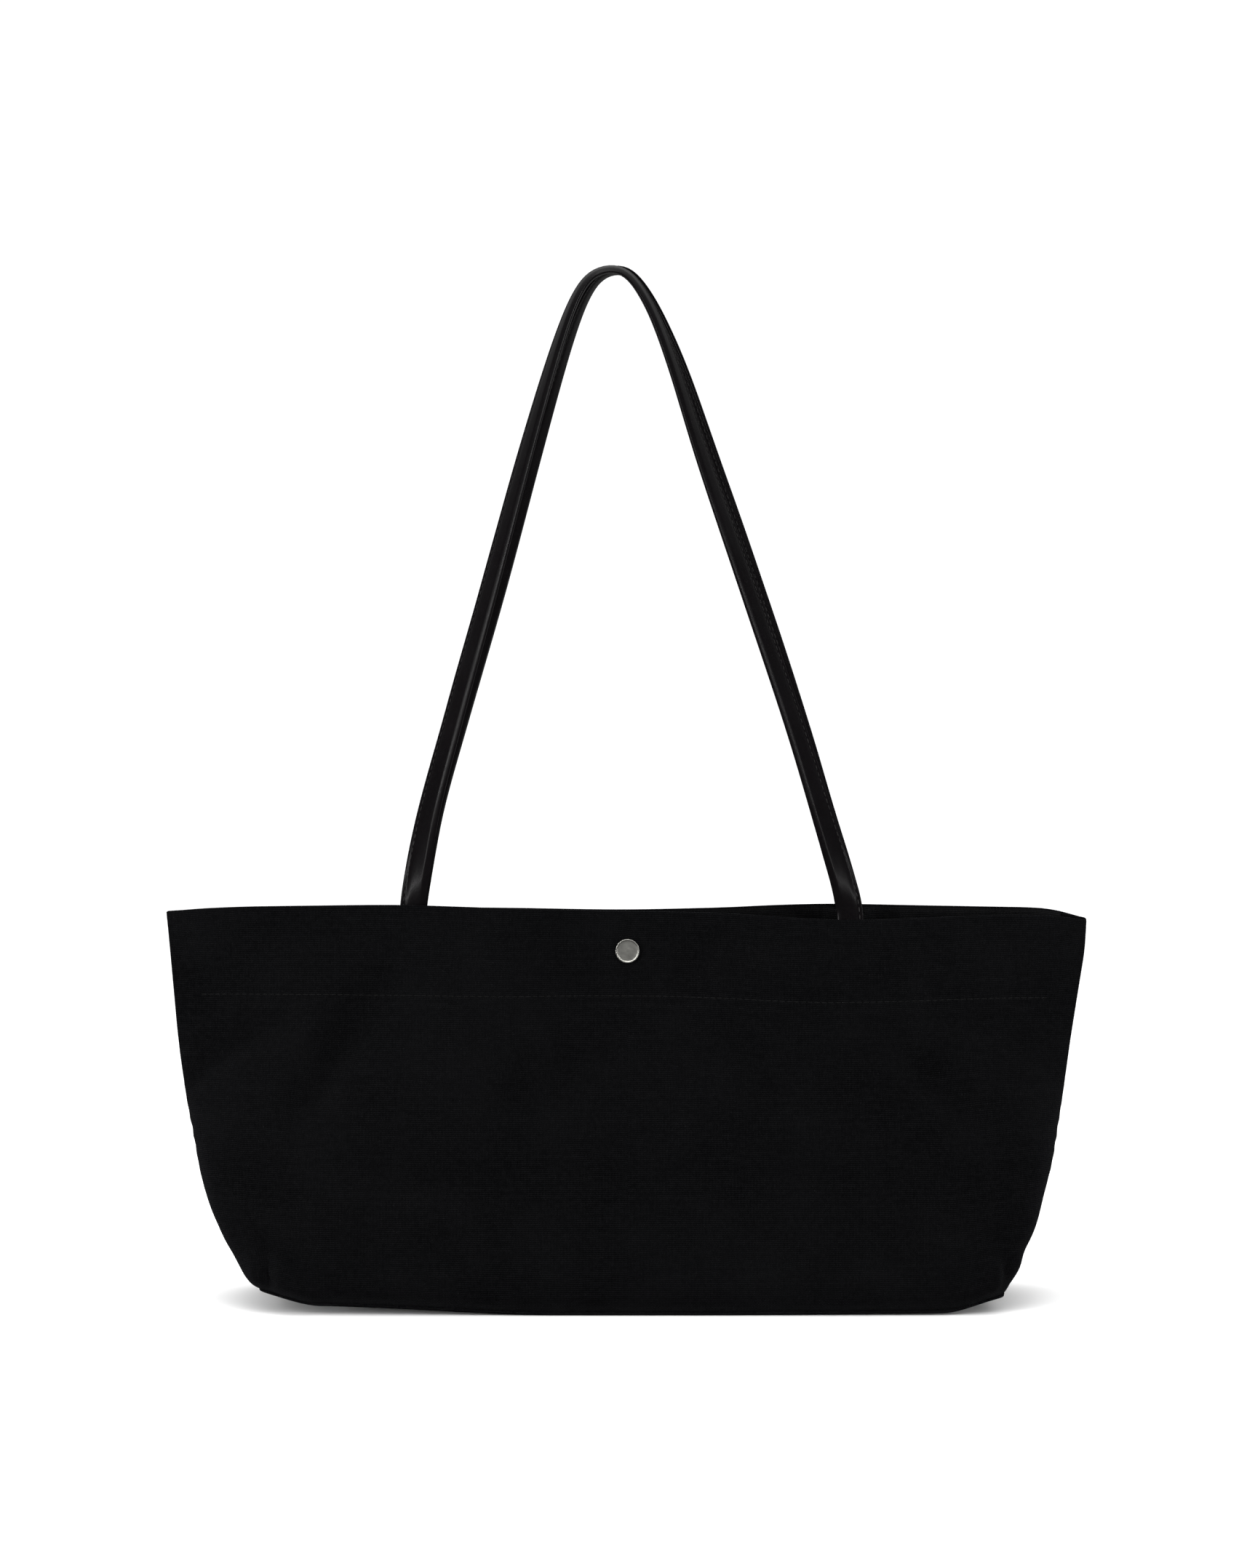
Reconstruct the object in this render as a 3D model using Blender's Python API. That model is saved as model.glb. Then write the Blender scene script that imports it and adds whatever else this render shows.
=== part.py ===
"""Canvas tote bag: a boxed canvas body, two folded leather handles and a press stud.

Metres, +Z up. The origin is on the ground under the middle of the base, and the front of
the bag faces -Y. The bag stands closed, with both handles upright.
"""

import math

import bmesh
import bpy
import numpy as np
from mathutils import Vector

# ---- driving dimensions ------------------------------------------------------------
RIM_HEIGHT = 0.1990
CANVAS = 0.0010  # thickness of the heavy canvas
GAP = 0.0003  # clearance between pieces that touch

# Half width of the side seam's outline: flared upwards, tucked in at the base corners.
SEAM_HALF_WIDTH = 0.2065
SEAM_FLARE = 0.118
CORNER_TUCK = 0.027
CORNER_REACH = 0.026

# Half depth of the body, from the boxed base to the lens-shaped mouth.
BASE_HALF_DEPTH = 0.0490
RIM_HALF_DEPTH = 0.0148
BELLY = 0.0025
BOXY_AT_BASE = 9.0  # how much squarer than an ellipse the plan is at the base

BASE_CORNER = 0.183  # from the middle of a wall, along it, to its base corner

# The base corners lift off the ground beyond the flat middle.
FLAT_HALF_LENGTH = 0.125
CORNER_LIFT = 0.008
LIFT_FADE = 0.025

# The snapped centre, pinched together.
PINCH_HALF_WIDTH = 0.055
PINCH_TOP = 0.165
SNAP_HEIGHT = 0.178
SNAP_LAYER = 0.0041  # from the middle plane to the inside of the panel at the snap

# Hem.
HEM_DEPTH = 0.042
FACING_HALF_WIDTH = 0.2185
PATCH_SIZE = 0.030
PATCH_THICKNESS = 0.0008

# Handles.
HANDLE_ROOT = 0.109  # from the middle of the bag to each strap end
STRAP_WIDTH = 0.0140
STRAP_THICKNESS = 0.0030
LEATHER = 0.0010
TAB_THICKNESS = 0.0024
QUICK_TURN = 52.0  # degrees that a strap turns soon after it leaves the rim
QUICK_TURN_SHARE = 0.07  # of its height
CROWN_HEIGHT = 0.5215
CROWN_X = -0.007
CROWN_Y = 0.0075

# Press stud, 12 mm cap.
CAP_RADIUS = 0.0060
SHANK_RADIUS = 0.0019
SHANK_HOLE_RADIUS = 0.0023
SOCKET_RADIUS = 0.0056
SOCKET_BORE = 0.0036
STUD_RADIUS = 0.0018
SPRING_RADIUS = 0.0030
SPRING_WIRE = 0.00025

FRONT, BACK = -1, 1


# ---- scene and materials -----------------------------------------------------------
def clear_scene():
    for old in list(bpy.data.objects):
        bpy.data.objects.remove(old, do_unlink=True)


def material(name, colour, roughness, metallic=0.0):
    """A plain Principled material for one sub-part."""
    made = bpy.data.materials.new(name)
    made.use_nodes = True
    shader = made.node_tree.nodes["Principled BSDF"]
    shader.inputs["Base Color"].default_value = (*colour, 1.0)
    shader.inputs["Roughness"].default_value = roughness
    shader.inputs["Metallic"].default_value = metallic
    return made


BLACK_CANVAS = ((0.0050, 0.0050, 0.0056), 0.90)
FACING_CANVAS = ((0.0045, 0.0045, 0.0050), 0.92)
BINDING_TAPE = ((0.0060, 0.0060, 0.0064), 0.85)
BLACK_LEATHER = ((0.0090, 0.0080, 0.0090), 0.42)
LEATHER_BOARD = ((0.0200, 0.0160, 0.0130), 0.80)
NICKEL = ((0.50, 0.49, 0.46), 0.34, 1.0)


def new_object(name, mesh, look, parent=None):
    """Link a finished mesh under its node name, with its own material."""
    made = bpy.data.objects.new(name, mesh)
    bpy.context.scene.collection.objects.link(made)
    made.data.materials.append(material(name, *look))
    if parent is not None:
        made.parent = parent
        made.matrix_parent_inverse = parent.matrix_world.inverted()
    return made


def joint_empty(name, place):
    """An empty on a joint's axis, the parent of what turns there."""
    made = bpy.data.objects.new(name, None)
    made.location = place
    bpy.context.scene.collection.objects.link(made)
    bpy.context.view_layer.update()
    return made


def mesh_from(bm, name):
    bmesh.ops.recalc_face_normals(bm, faces=bm.faces)
    made = bpy.data.meshes.new(name)
    bm.to_mesh(made)
    bm.free()
    return made


# ---- the shape of the canvas body --------------------------------------------------
def smooth(value, low, high):
    share = np.clip((value - low) / (high - low), 0.0, 1.0)
    return share * share * (3.0 - 2.0 * share)


def half_width(height):
    return SEAM_HALF_WIDTH + SEAM_FLARE * height - CORNER_TUCK * np.exp(-height / CORNER_REACH)


def half_depth(height):
    share = height / RIM_HEIGHT
    taper = BASE_HALF_DEPTH + (RIM_HALF_DEPTH - BASE_HALF_DEPTH) * share
    return taper + BELLY * np.sin(math.pi * share)


def corner_lift(x, level):
    """How far the base corners stand off the ground, fading out up the walls."""
    rise = CORNER_LIFT * smooth(np.abs(x), FLAT_HALF_LENGTH, half_width(0.0))
    return rise * np.exp(-level / LIFT_FADE)


def snap_target(level):
    """Distance of the panel from the middle plane down the centre line."""
    share = max(0.0, 1.0 - level / PINCH_TOP)
    return SNAP_LAYER + (BASE_HALF_DEPTH - SNAP_LAYER) * share


def pinch(x, level, depth):
    """Draw the centre of the wall in to the snap."""
    strength = np.exp(-((x / PINCH_HALF_WIDTH) ** 2.5)) * smooth(level, 0.02, 0.13)
    return depth + (snap_target(level) - depth) * strength


def wall_row(level, shares):
    """One level of a wall, as (x, depth, z) for each share of the way from centre to seam."""
    boxy = max(0.0, 1.0 - level / RIM_HEIGHT) ** 3.5
    along = 2.0 + BOXY_AT_BASE * boxy
    across = 1.0 + (BOXY_AT_BASE + 1.0) * boxy
    turn = np.linspace(0.0, math.pi / 2, 500)
    seam_level = level + CORNER_LIFT * math.exp(-level / LIFT_FADE)
    x = half_width(seam_level) * np.sin(turn) ** (2.0 / along)
    depth = half_depth(level) * np.cos(turn) ** (2.0 / across)
    depth = pinch(x, level, depth)
    length = np.concatenate([[0.0], np.cumsum(np.hypot(np.diff(x), np.diff(depth)))])
    at = np.abs(shares) * length[-1]
    x = np.interp(at, length, x)
    depth = np.interp(at, length, depth)
    z = level + corner_lift(x, level)
    return np.stack([np.sign(shares) * x, depth, z], axis=1)


def wall_grid(levels, shares, offset=0.0):
    """Points of a wall, moved out along its normal by offset (one value or a grid)."""
    nudge = 0.002
    grid = np.array([wall_row(level, shares) for level in levels])
    wider = np.array([wall_row(level, np.clip(shares + nudge, -1.0, 1.0)) for level in levels])
    narrower = np.array([wall_row(level, np.clip(shares - nudge, -1.0, 1.0)) for level in levels])
    above = np.array([wall_row(level + nudge / 4, shares) for level in levels])
    below = np.array([wall_row(level - nudge / 4, shares) for level in levels])
    normal = np.cross(above - below, wider - narrower)
    normal /= np.linalg.norm(normal, axis=2, keepdims=True)
    return grid + normal * np.broadcast_to(offset, grid.shape[:2])[:, :, None]


def wall_columns(reach=1.0, near=0.0, within=1.0):
    """Shares where a wall's columns of points lie, kept only where a piece needs them.

    Every layer of the hem uses the same columns, so that the layers stay clear of each
    other. They crowd at the snap patch, at the strap ends and round the base corners.
    """
    snap = [PATCH_SIZE / 2, 0.022, 0.034, 0.050, 0.071]
    strap = [HANDLE_ROOT + step for step in (-0.017, -STRAP_WIDTH / 2, 0.0, STRAP_WIDTH / 2, 0.017)]
    corner = [0.145] + [BASE_CORNER + 0.010 * step for step in (-2, -1, 0, 1, 2)]
    marks = snap + strap + corner + [FACING_HALF_WIDTH]
    half = [mark / half_width(RIM_HEIGHT) for mark in marks] + [1.0]
    both = np.array([-share for share in reversed(half)] + [0.0] + half)
    kept = (np.abs(both) <= reach + 1e-9) & (np.abs(both - near) <= within + 1e-9)
    return both[kept]


def sheet_mesh(name, inner, outer, side):
    """A closed cloth solid between two grids of points, on the front or back of the bag."""
    bm = bmesh.new()
    place = np.array([1.0, side, 1.0])
    layers = []
    for grid in (inner, outer):
        layers.append([[bm.verts.new(point * place) for point in row] for row in grid])
    rows, columns = inner.shape[:2]
    for layer in layers:
        for row in range(rows - 1):
            for column in range(columns - 1):
                bm.faces.new(
                    (
                        layer[row][column],
                        layer[row][column + 1],
                        layer[row + 1][column + 1],
                        layer[row + 1][column],
                    )
                )
    loops = []
    for layer in layers:
        edge = layer[0][:-1] + [row[-1] for row in layer[:-1]]
        edge += layer[-1][:0:-1] + [row[0] for row in layer[:0:-1]]
        loops.append(edge)
    count = len(loops[0])
    for index in range(count):
        after = (index + 1) % count
        bm.faces.new((loops[0][index], loops[0][after], loops[1][after], loops[1][index]))
    return mesh_from(bm, name)


def cut_shank_hole(piece, name, side):
    """Punch the hole that the press stud's shank passes through."""
    bpy.ops.mesh.primitive_cylinder_add(
        vertices=20,
        radius=SHANK_HOLE_RADIUS,
        depth=0.012,
        location=(0.0, side * SNAP_LAYER, SNAP_HEIGHT),
        rotation=(math.pi / 2, 0.0, 0.0),
    )
    cutter = bpy.context.object
    cutter.name = name
    cutter.hide_render = True
    cutter.display_type = "WIRE"
    hole = piece.modifiers.new("shank hole", "BOOLEAN")
    hole.operation = "DIFFERENCE"
    hole.solver = "EXACT"
    hole.object = cutter


# ---- canvas pieces -----------------------------------------------------------------
PATCH_LEVELS = [SNAP_HEIGHT - PATCH_SIZE / 2, SNAP_HEIGHT, SNAP_HEIGHT + PATCH_SIZE / 2]
HEM_LEVELS = [RIM_HEIGHT - HEM_DEPTH - 0.002] + PATCH_LEVELS + [RIM_HEIGHT]
PANEL_LEVELS = [0.0, 0.008, 0.018, 0.034, 0.058, 0.086, 0.112, 0.136] + HEM_LEVELS
SEAM_GAP = np.array([0.0, GAP, 0.0])


def make_panel(name, side, parent):
    """A wall of the bag, wrapping round half of each base end to the side seams."""
    inner = wall_grid(PANEL_LEVELS, wall_columns()) + SEAM_GAP
    outer = wall_grid(PANEL_LEVELS, wall_columns(), CANVAS) + SEAM_GAP
    panel = new_object(name, sheet_mesh(name, inner, outer, side), BLACK_CANVAS, parent)
    cut_shank_hole(panel, name + "_punch", side)
    return panel


def facing_inset(shares):
    """Room between the facing and the panel: for the snap patch and for the strap ends."""
    x = np.abs(shares) * half_width(RIM_HEIGHT)
    over_patch = x < PATCH_SIZE / 2 + 0.001
    over_tab = np.abs(x - HANDLE_ROOT) < STRAP_WIDTH / 2 + 0.001
    return GAP + over_patch * (PATCH_THICKNESS + GAP) + over_tab * (TAB_THICKNESS + GAP)


def make_facing(name, side, parent):
    """The band sewn inside the rim, which the strap ends are caught behind."""
    shares = wall_columns(reach=FACING_HALF_WIDTH / half_width(RIM_HEIGHT))
    inset = facing_inset(shares)
    inner = wall_grid(HEM_LEVELS, shares, -inset - CANVAS) + SEAM_GAP
    outer = wall_grid(HEM_LEVELS, shares, -inset) + SEAM_GAP
    facing = new_object(name, sheet_mesh(name, inner, outer, side), FACING_CANVAS, parent)
    cut_shank_hole(facing, name + "_punch", side)
    return facing


def make_snap_patch(name, side, parent):
    """The small reinforcement between panel and facing, behind the press stud."""
    shares = wall_columns(reach=PATCH_SIZE / 2 / half_width(RIM_HEIGHT))
    outer = wall_grid(PATCH_LEVELS, shares, -GAP) + SEAM_GAP
    inner = wall_grid(PATCH_LEVELS, shares, -GAP - PATCH_THICKNESS) + SEAM_GAP
    patch = new_object(name, sheet_mesh(name, inner, outer, side), BINDING_TAPE, parent)
    cut_shank_hole(patch, name + "_punch", side)
    return patch


def base_outline(inset):
    """The base seam's plan, anticlockwise, drawn in by an inset."""
    shares = wall_columns()
    front = wall_grid([0.0], shares, -inset)[0] * np.array([1.0, FRONT, 1.0])
    back = wall_grid([0.0], shares, -inset)[0] * np.array([1.0, BACK, 1.0])
    plan = np.concatenate([front, back[::-1]])
    return [(x, y) for x, y, _ in plan]


def make_base_panel(name):
    """The base: flat in the middle, turned up a little at both ends."""
    outline = base_outline(0.0006)
    bm = bmesh.new()
    half_count = len(outline) // 2
    rows = []
    for index in range(half_count):
        front = outline[index]
        back = outline[-1 - index]
        x = (front[0] + back[0]) / 2
        rows.append([(x, front[1]), (x, front[1] / 3), (x, back[1] / 3), (x, back[1])])
    grid = np.array([[(x, y, corner_lift(x, 0.0)) for x, y in row] for row in rows])
    grid = np.delete(grid, [0, -1], axis=0)
    for shift in (0.0, CANVAS):
        layer = [[bm.verts.new(point + np.array([0, 0, shift])) for point in row] for row in grid]
        for one, other in zip(layer, layer[1:]):
            for left, right in ((0, 1), (1, 2), (2, 3)):
                bm.faces.new((one[left], one[right], other[right], other[left]))
    bmesh.ops.bridge_loops(bm, edges=[edge for edge in bm.edges if edge.is_boundary])
    return new_object(name, mesh_from(bm, name), BLACK_CANVAS)


def make_base_binding(name):
    """Bias tape over the base seam, a ring lying on the base just inside the walls."""
    outer = base_outline(0.0014)
    inner = base_outline(0.0090)
    bm = bmesh.new()
    loops = []
    for outline, rise in ((outer, GAP), (inner, GAP), (inner, GAP + 0.0007), (outer, GAP + 0.0007)):
        low = CANVAS + rise
        loops.append([bm.verts.new((x, y, corner_lift(x, 0.0) + low)) for x, y in outline])
    for one, other in zip(loops, loops[1:] + loops[:1]):
        for index, vert in enumerate(one):
            after = (index + 1) % len(one)
            bm.faces.new((vert, one[after], other[after], other[index]))
    return new_object(name, mesh_from(bm, name), BINDING_TAPE)


def make_side_binding(name, side):
    """Bias tape standing inside a side seam, from the base up to the hem."""
    bm = bmesh.new()
    rings = []
    for level in (0.014, 0.030, 0.050, 0.075, 0.105, 0.135, RIM_HEIGHT - HEM_DEPTH - 0.006):
        outside = half_width(level) - 0.005
        inside = outside - 0.010
        ring = [(outside, -0.0005), (outside, 0.0005), (inside, 0.0005), (inside, -0.0005)]
        rings.append([bm.verts.new((side * x, y, level)) for x, y in ring])
    for low, high in zip(rings, rings[1:]):
        for index in range(4):
            after = (index + 1) % 4
            bm.faces.new((low[index], low[after], high[after], high[index]))
    bm.faces.new(rings[0])
    bm.faces.new(rings[-1])
    return new_object(name, mesh_from(bm, name), BINDING_TAPE)


# ---- press stud --------------------------------------------------------------------
def turned(name, outline, side, parent, segments=24):
    """A turned piece on the snap's axis, from (radius, distance from the middle plane)."""
    bm = bmesh.new()
    rings = []
    for radius, distance in outline:
        if radius == 0.0:
            rings.append([bm.verts.new((0.0, side * distance, SNAP_HEIGHT))])
            continue
        ring = []
        for step in range(segments):
            angle = 2 * math.pi * step / segments
            x = radius * math.cos(angle)
            z = SNAP_HEIGHT + radius * math.sin(angle)
            ring.append(bm.verts.new((x, side * distance, z)))
        rings.append(ring)
    closed_ring = outline[0][0] > 0.0
    pairs = list(zip(rings, rings[1:]))
    if closed_ring:
        pairs.append((rings[-1], rings[0]))
    for one, other in pairs:
        for step in range(segments):
            after = (step + 1) % segments
            if len(one) == 1:
                bm.faces.new((one[0], other[step], other[after]))
            elif len(other) == 1:
                bm.faces.new((one[step], one[after], other[0]))
            else:
                bm.faces.new((one[step], one[after], other[after], other[step]))
    return new_object(name, mesh_from(bm, name), NICKEL, parent)


def make_press_stud(front, back):
    panel_face = SNAP_LAYER + 2 * GAP + CANVAS
    facing_face = 0.0017
    shank_end = facing_face + 0.0001
    cap_edge = panel_face + 0.0006
    cap = [(0.0, shank_end), (SHANK_RADIUS, shank_end), (SHANK_RADIUS, panel_face)]
    cap += [(CAP_RADIUS, panel_face), (CAP_RADIUS, cap_edge), (CAP_RADIUS - 0.0006, panel_face + 0.0013)]
    cap += [(CAP_RADIUS - 0.0016, panel_face + 0.0011), (0.0, panel_face + 0.0015)]
    turned("snap_cap", cap, FRONT, front)
    socket_face = facing_face - GAP
    socket = [(SOCKET_BORE, GAP), (SOCKET_RADIUS - 0.0004, GAP), (SOCKET_RADIUS, 0.0007)]
    socket += [(SOCKET_RADIUS, socket_face), (SOCKET_BORE, socket_face)]
    turned("snap_socket", socket, FRONT, front)
    middle = (GAP + socket_face) / 2
    spring = [(SPRING_RADIUS - SPRING_WIRE, middle), (SPRING_RADIUS, middle - SPRING_WIRE)]
    spring += [(SPRING_RADIUS + SPRING_WIRE, middle), (SPRING_RADIUS, middle + SPRING_WIRE)]
    turned("snap_spring", spring, FRONT, front)
    stud = [(0.0, socket_face), (SOCKET_RADIUS - 0.0006, socket_face), (SOCKET_RADIUS - 0.0006, 0.0006)]
    stud += [(STUD_RADIUS + 0.0004, GAP), (STUD_RADIUS - 0.0003, 0.0), (STUD_RADIUS, -0.0007)]
    stud += [(STUD_RADIUS - 0.0004, -0.0011), (0.0, -0.0011)]
    turned("snap_stud", stud, BACK, back)
    post = [(0.0, shank_end), (SHANK_RADIUS, shank_end), (SHANK_RADIUS, panel_face)]
    post += [(0.0045, panel_face), (0.0045, panel_face + 0.0005), (0.0038, panel_face + 0.0009)]
    post += [(0.0, panel_face + 0.0009)]
    turned("snap_post", post, BACK, back)


# ---- handles -----------------------------------------------------------------------
def root_depth():
    """Distance of a strap end's middle from the middle plane, just behind the panel."""
    row = wall_row(RIM_HEIGHT, np.linspace(0.0, 1.0, 200))
    return float(np.interp(HANDLE_ROOT, row[:, 0], row[:, 1])) - STRAP_THICKNESS / 2


def hinge_depth():
    """Distance of the rim's outer edge at the straps from the middle plane."""
    return root_depth() + STRAP_THICKNESS / 2 + GAP + CANVAS + 0.0004


def smooth_curve(points, steps):
    """A curve through the points (Catmull-Rom), with an even number of steps per span."""
    points = [Vector(point) for point in points]
    ends = [2 * points[0] - points[1]] + points + [2 * points[-1] - points[-2]]
    curve = []
    for a, b, c, d in zip(ends, ends[1:], ends[2:], ends[3:]):
        for step in range(steps):
            t = step / steps
            bend = 2 * b + (c - a) * t + (2 * a - 5 * b + 4 * c - d) * t**2
            curve.append((bend + (3 * b - a - 3 * c + d) * t**3) / 2)
    return curve + [points[-1]]


def handle_route(sway):
    """The middle line of a strap in front view, left root over the crown to the right root.

    Each leg bows outwards a little, and a sway moves both legs sideways at mid height.
    """
    foot = RIM_HEIGHT + 0.0005
    rise = CROWN_HEIGHT - foot
    bow = 0.0035
    crown_radius = 0.0105
    left, right = [], []
    for share in (0.0, 0.13, 0.30, 0.50, 0.70, 0.87):
        swell = math.sin(math.pi * share)
        height = foot + rise * share
        taper = 1.0 - share * (1.0 - 0.018 / HANDLE_ROOT)
        left.append((CROWN_X * share - HANDLE_ROOT * taper - (bow - sway) * swell, 0.0, height))
        right.append((CROWN_X * share + HANDLE_ROOT * taper + (bow + sway) * swell, 0.0, height))
    crown = []
    for turn in (-58, 0, 58):
        angle = math.radians(turn)
        x = CROWN_X + crown_radius * math.sin(angle)
        crown.append((x, 0.0, CROWN_HEIGHT - crown_radius * (1.0 - math.cos(angle))))
    return left + crown + right[::-1]


def strap_frames(sway):
    """(centre, direction across the strap towards its fold, direction of its face) all along.

    The strap faces the front at the rim and lies edge on at the crown, folded side forward.
    """
    curve = smooth_curve(handle_route(sway), 4)
    foot = curve[0].z
    frames = []
    for index, point in enumerate(curve):
        before = curve[max(index - 1, 0)]
        after = curve[min(index + 1, len(curve) - 1)]
        along = (after - before).normalized()
        inward = Vector((along.z, 0.0, -along.x))
        share = (point.z - foot) / (CROWN_HEIGHT - foot)
        early = 1.0 - math.exp(-share / QUICK_TURN_SHARE)
        twist = math.radians(QUICK_TURN * early + (90.0 - QUICK_TURN) * share**2.4)
        across = inward * math.cos(twist) + Vector((0.0, -1.0, 0.0)) * math.sin(twist)
        depth = root_depth() + (CROWN_Y - root_depth()) * share
        frames.append((Vector((point.x, -depth, point.z)), across, along.cross(across)))
    return frames


def sweep(name, profile, sway, side, look, parent):
    """A closed solid swept along a handle from a profile of (across, face) distances."""
    bm = bmesh.new()
    rings = []
    frames = strap_frames(sway)
    for centre, across, face in frames:
        along = face.cross(across)
        at_foot = centre in (frames[0][0], frames[-1][0])
        ring = []
        for width, height in profile:
            point = centre + across * width + face * height
            if at_foot:  # the ends are cut level, just above the rim
                point += along * (centre.z - point.z) / along.z
            ring.append(bm.verts.new((point.x, -side * point.y, point.z)))
        rings.append(ring)
    for low, high in zip(rings, rings[1:]):
        for index in range(len(profile)):
            after = (index + 1) % len(profile)
            bm.faces.new((low[index], low[after], high[after], high[index]))
    bm.faces.new(rings[0])
    bm.faces.new(rings[-1])
    return new_object(name, mesh_from(bm, name), look, parent)


def folded_profile():
    """A strip of leather folded in two: round at the fold, open a hair at the sewn edge."""
    half = STRAP_THICKNESS / 2
    fold = STRAP_WIDTH / 2 - half
    sewn = -STRAP_WIDTH / 2
    inside = half - LEATHER
    slit = 0.00015
    outer = [(sewn, half - 0.0006), (sewn + 0.003, half - 0.0003), (sewn + 0.005, half), (fold, half)]
    outer += [(fold + half, 0.0), (fold, -half)]
    outer += [(sewn + 0.005, -half), (sewn + 0.003, 0.0003 - half), (sewn, 0.0006 - half)]
    inner = [(sewn, -slit), (sewn + 0.0032, -slit), (sewn + 0.0042, -inside), (fold, -inside)]
    inner += [(fold, inside), (sewn + 0.0042, inside), (sewn + 0.0032, slit), (sewn, slit)]
    return outer + inner


def core_profile():
    """The flat filler strip inside the fold."""
    inside = STRAP_THICKNESS / 2 - LEATHER - 0.00025
    fold = STRAP_WIDTH / 2 - STRAP_THICKNESS / 2 - 0.0004
    sewn = 0.0047 - STRAP_WIDTH / 2
    return [(sewn, -inside), (fold, -inside), (fold, inside), (sewn, inside)]


def make_tab(name, x, side, parent):
    """A strap end, flattened and sewn between the panel and the facing."""
    rim_half = half_width(RIM_HEIGHT)
    shares = wall_columns(near=x / rim_half, within=STRAP_WIDTH / 2 / rim_half)
    levels = PATCH_LEVELS + [RIM_HEIGHT]
    outer = wall_grid(levels, shares, -GAP) + SEAM_GAP
    inner = wall_grid(levels, shares, -GAP - TAB_THICKNESS) + SEAM_GAP
    return new_object(name, sheet_mesh(name, inner, outer, side), BLACK_LEATHER, parent)


def make_handle(label, side, sway, wall, swing):
    sweep(label + "_handle_strap", folded_profile(), sway, side, BLACK_LEATHER, swing)
    sweep(label + "_handle_core", core_profile(), sway, side, LEATHER_BOARD, swing)
    make_tab(label + "_handle_tab_left", -HANDLE_ROOT, side, wall)
    make_tab(label + "_handle_tab_right", HANDLE_ROOT, side, wall)


# ---- assembly ----------------------------------------------------------------------
def make_wall(label, side, sway):
    """One wall with its facing, patch and handle; returns the empty it opens about."""
    wall = joint_empty(label + "_wall_open", (0.0, side * (BASE_HALF_DEPTH + CANVAS), 0.0))
    swing = joint_empty(label + "_handle_swing", (0.0, side * hinge_depth(), RIM_HEIGHT))
    swing.parent = wall
    swing.matrix_parent_inverse = wall.matrix_world.inverted()
    bpy.context.view_layer.update()
    make_panel(label + "_panel", side, wall)
    make_facing(label + "_facing", side, wall)
    make_snap_patch(label + "_snap_patch", side, wall)
    make_handle(label, side, sway, wall, swing)
    return wall


def main():
    clear_scene()
    make_base_panel("base_panel")
    make_base_binding("base_seam_binding")
    make_side_binding("left_side_binding", -1)
    make_side_binding("right_side_binding", 1)
    front = make_wall("front", FRONT, 0.0)
    back = make_wall("back", BACK, 0.0045)
    make_press_stud(front, back)


main()
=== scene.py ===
"""Looks for the canvas tote bag: cloth walls, leather handles, stitching and a press stud.

Metres, +Z up, in the same frame as the CAD. The front of the bag faces -Y.
"""

import math

import bpy
import numpy as np
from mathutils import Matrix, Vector, noise


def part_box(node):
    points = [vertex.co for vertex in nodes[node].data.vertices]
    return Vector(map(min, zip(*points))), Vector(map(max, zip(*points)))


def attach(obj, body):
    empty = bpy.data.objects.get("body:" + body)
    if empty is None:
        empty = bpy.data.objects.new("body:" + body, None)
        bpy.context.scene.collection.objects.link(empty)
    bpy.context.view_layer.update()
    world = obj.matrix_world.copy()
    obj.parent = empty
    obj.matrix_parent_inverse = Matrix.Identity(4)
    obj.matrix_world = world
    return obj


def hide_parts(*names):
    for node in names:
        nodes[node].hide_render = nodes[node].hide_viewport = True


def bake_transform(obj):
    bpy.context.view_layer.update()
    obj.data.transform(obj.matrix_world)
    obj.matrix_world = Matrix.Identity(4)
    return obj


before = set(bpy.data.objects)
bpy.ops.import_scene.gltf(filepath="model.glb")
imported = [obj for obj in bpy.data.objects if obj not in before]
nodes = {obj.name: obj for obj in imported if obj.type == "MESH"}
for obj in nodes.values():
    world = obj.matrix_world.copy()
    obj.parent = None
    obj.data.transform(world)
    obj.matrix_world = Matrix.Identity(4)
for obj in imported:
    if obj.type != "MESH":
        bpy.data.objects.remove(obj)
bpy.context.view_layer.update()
bpy.ops.object.select_all(action="DESELECT")
scene = bpy.context.scene

FRONT, BACK = -1, 1
LABEL = {FRONT: "front", BACK: "back"}
HAND = {-1: "left", 1: "right"}

# ---- sizes taken from the frame ----
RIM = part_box("front_facing")[1].z
STRAP_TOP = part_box("front_handle_strap")[1].z
SNAP_CENTRE = (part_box("snap_cap")[0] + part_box("snap_cap")[1]) / 2
CAP_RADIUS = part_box("snap_cap")[1].x
CAP_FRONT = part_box("snap_cap")[0].y
CAP_THICK, POST_THICK = 0.0015, 0.0012
TAB_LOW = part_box("front_handle_tab_left")[0].z

# ---- cloth, leather and thread ----
CANVAS = 0.0010  # thickness of the heavy canvas
FACING = 0.0008
SEAM_GAP = 0.0003  # each wall stands this far from the middle plane at the side seams
RIB_PITCH = 0.00100  # the canvas's crosswise ribs
WARP_PITCH = 0.00072
STITCH_PITCH = 0.0035
HEM_STITCH = (0.0032, 0.00058, 0.00046)  # length, width, height
STRAP_STITCH = (0.0026, 0.00060, 0.00052)

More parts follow.
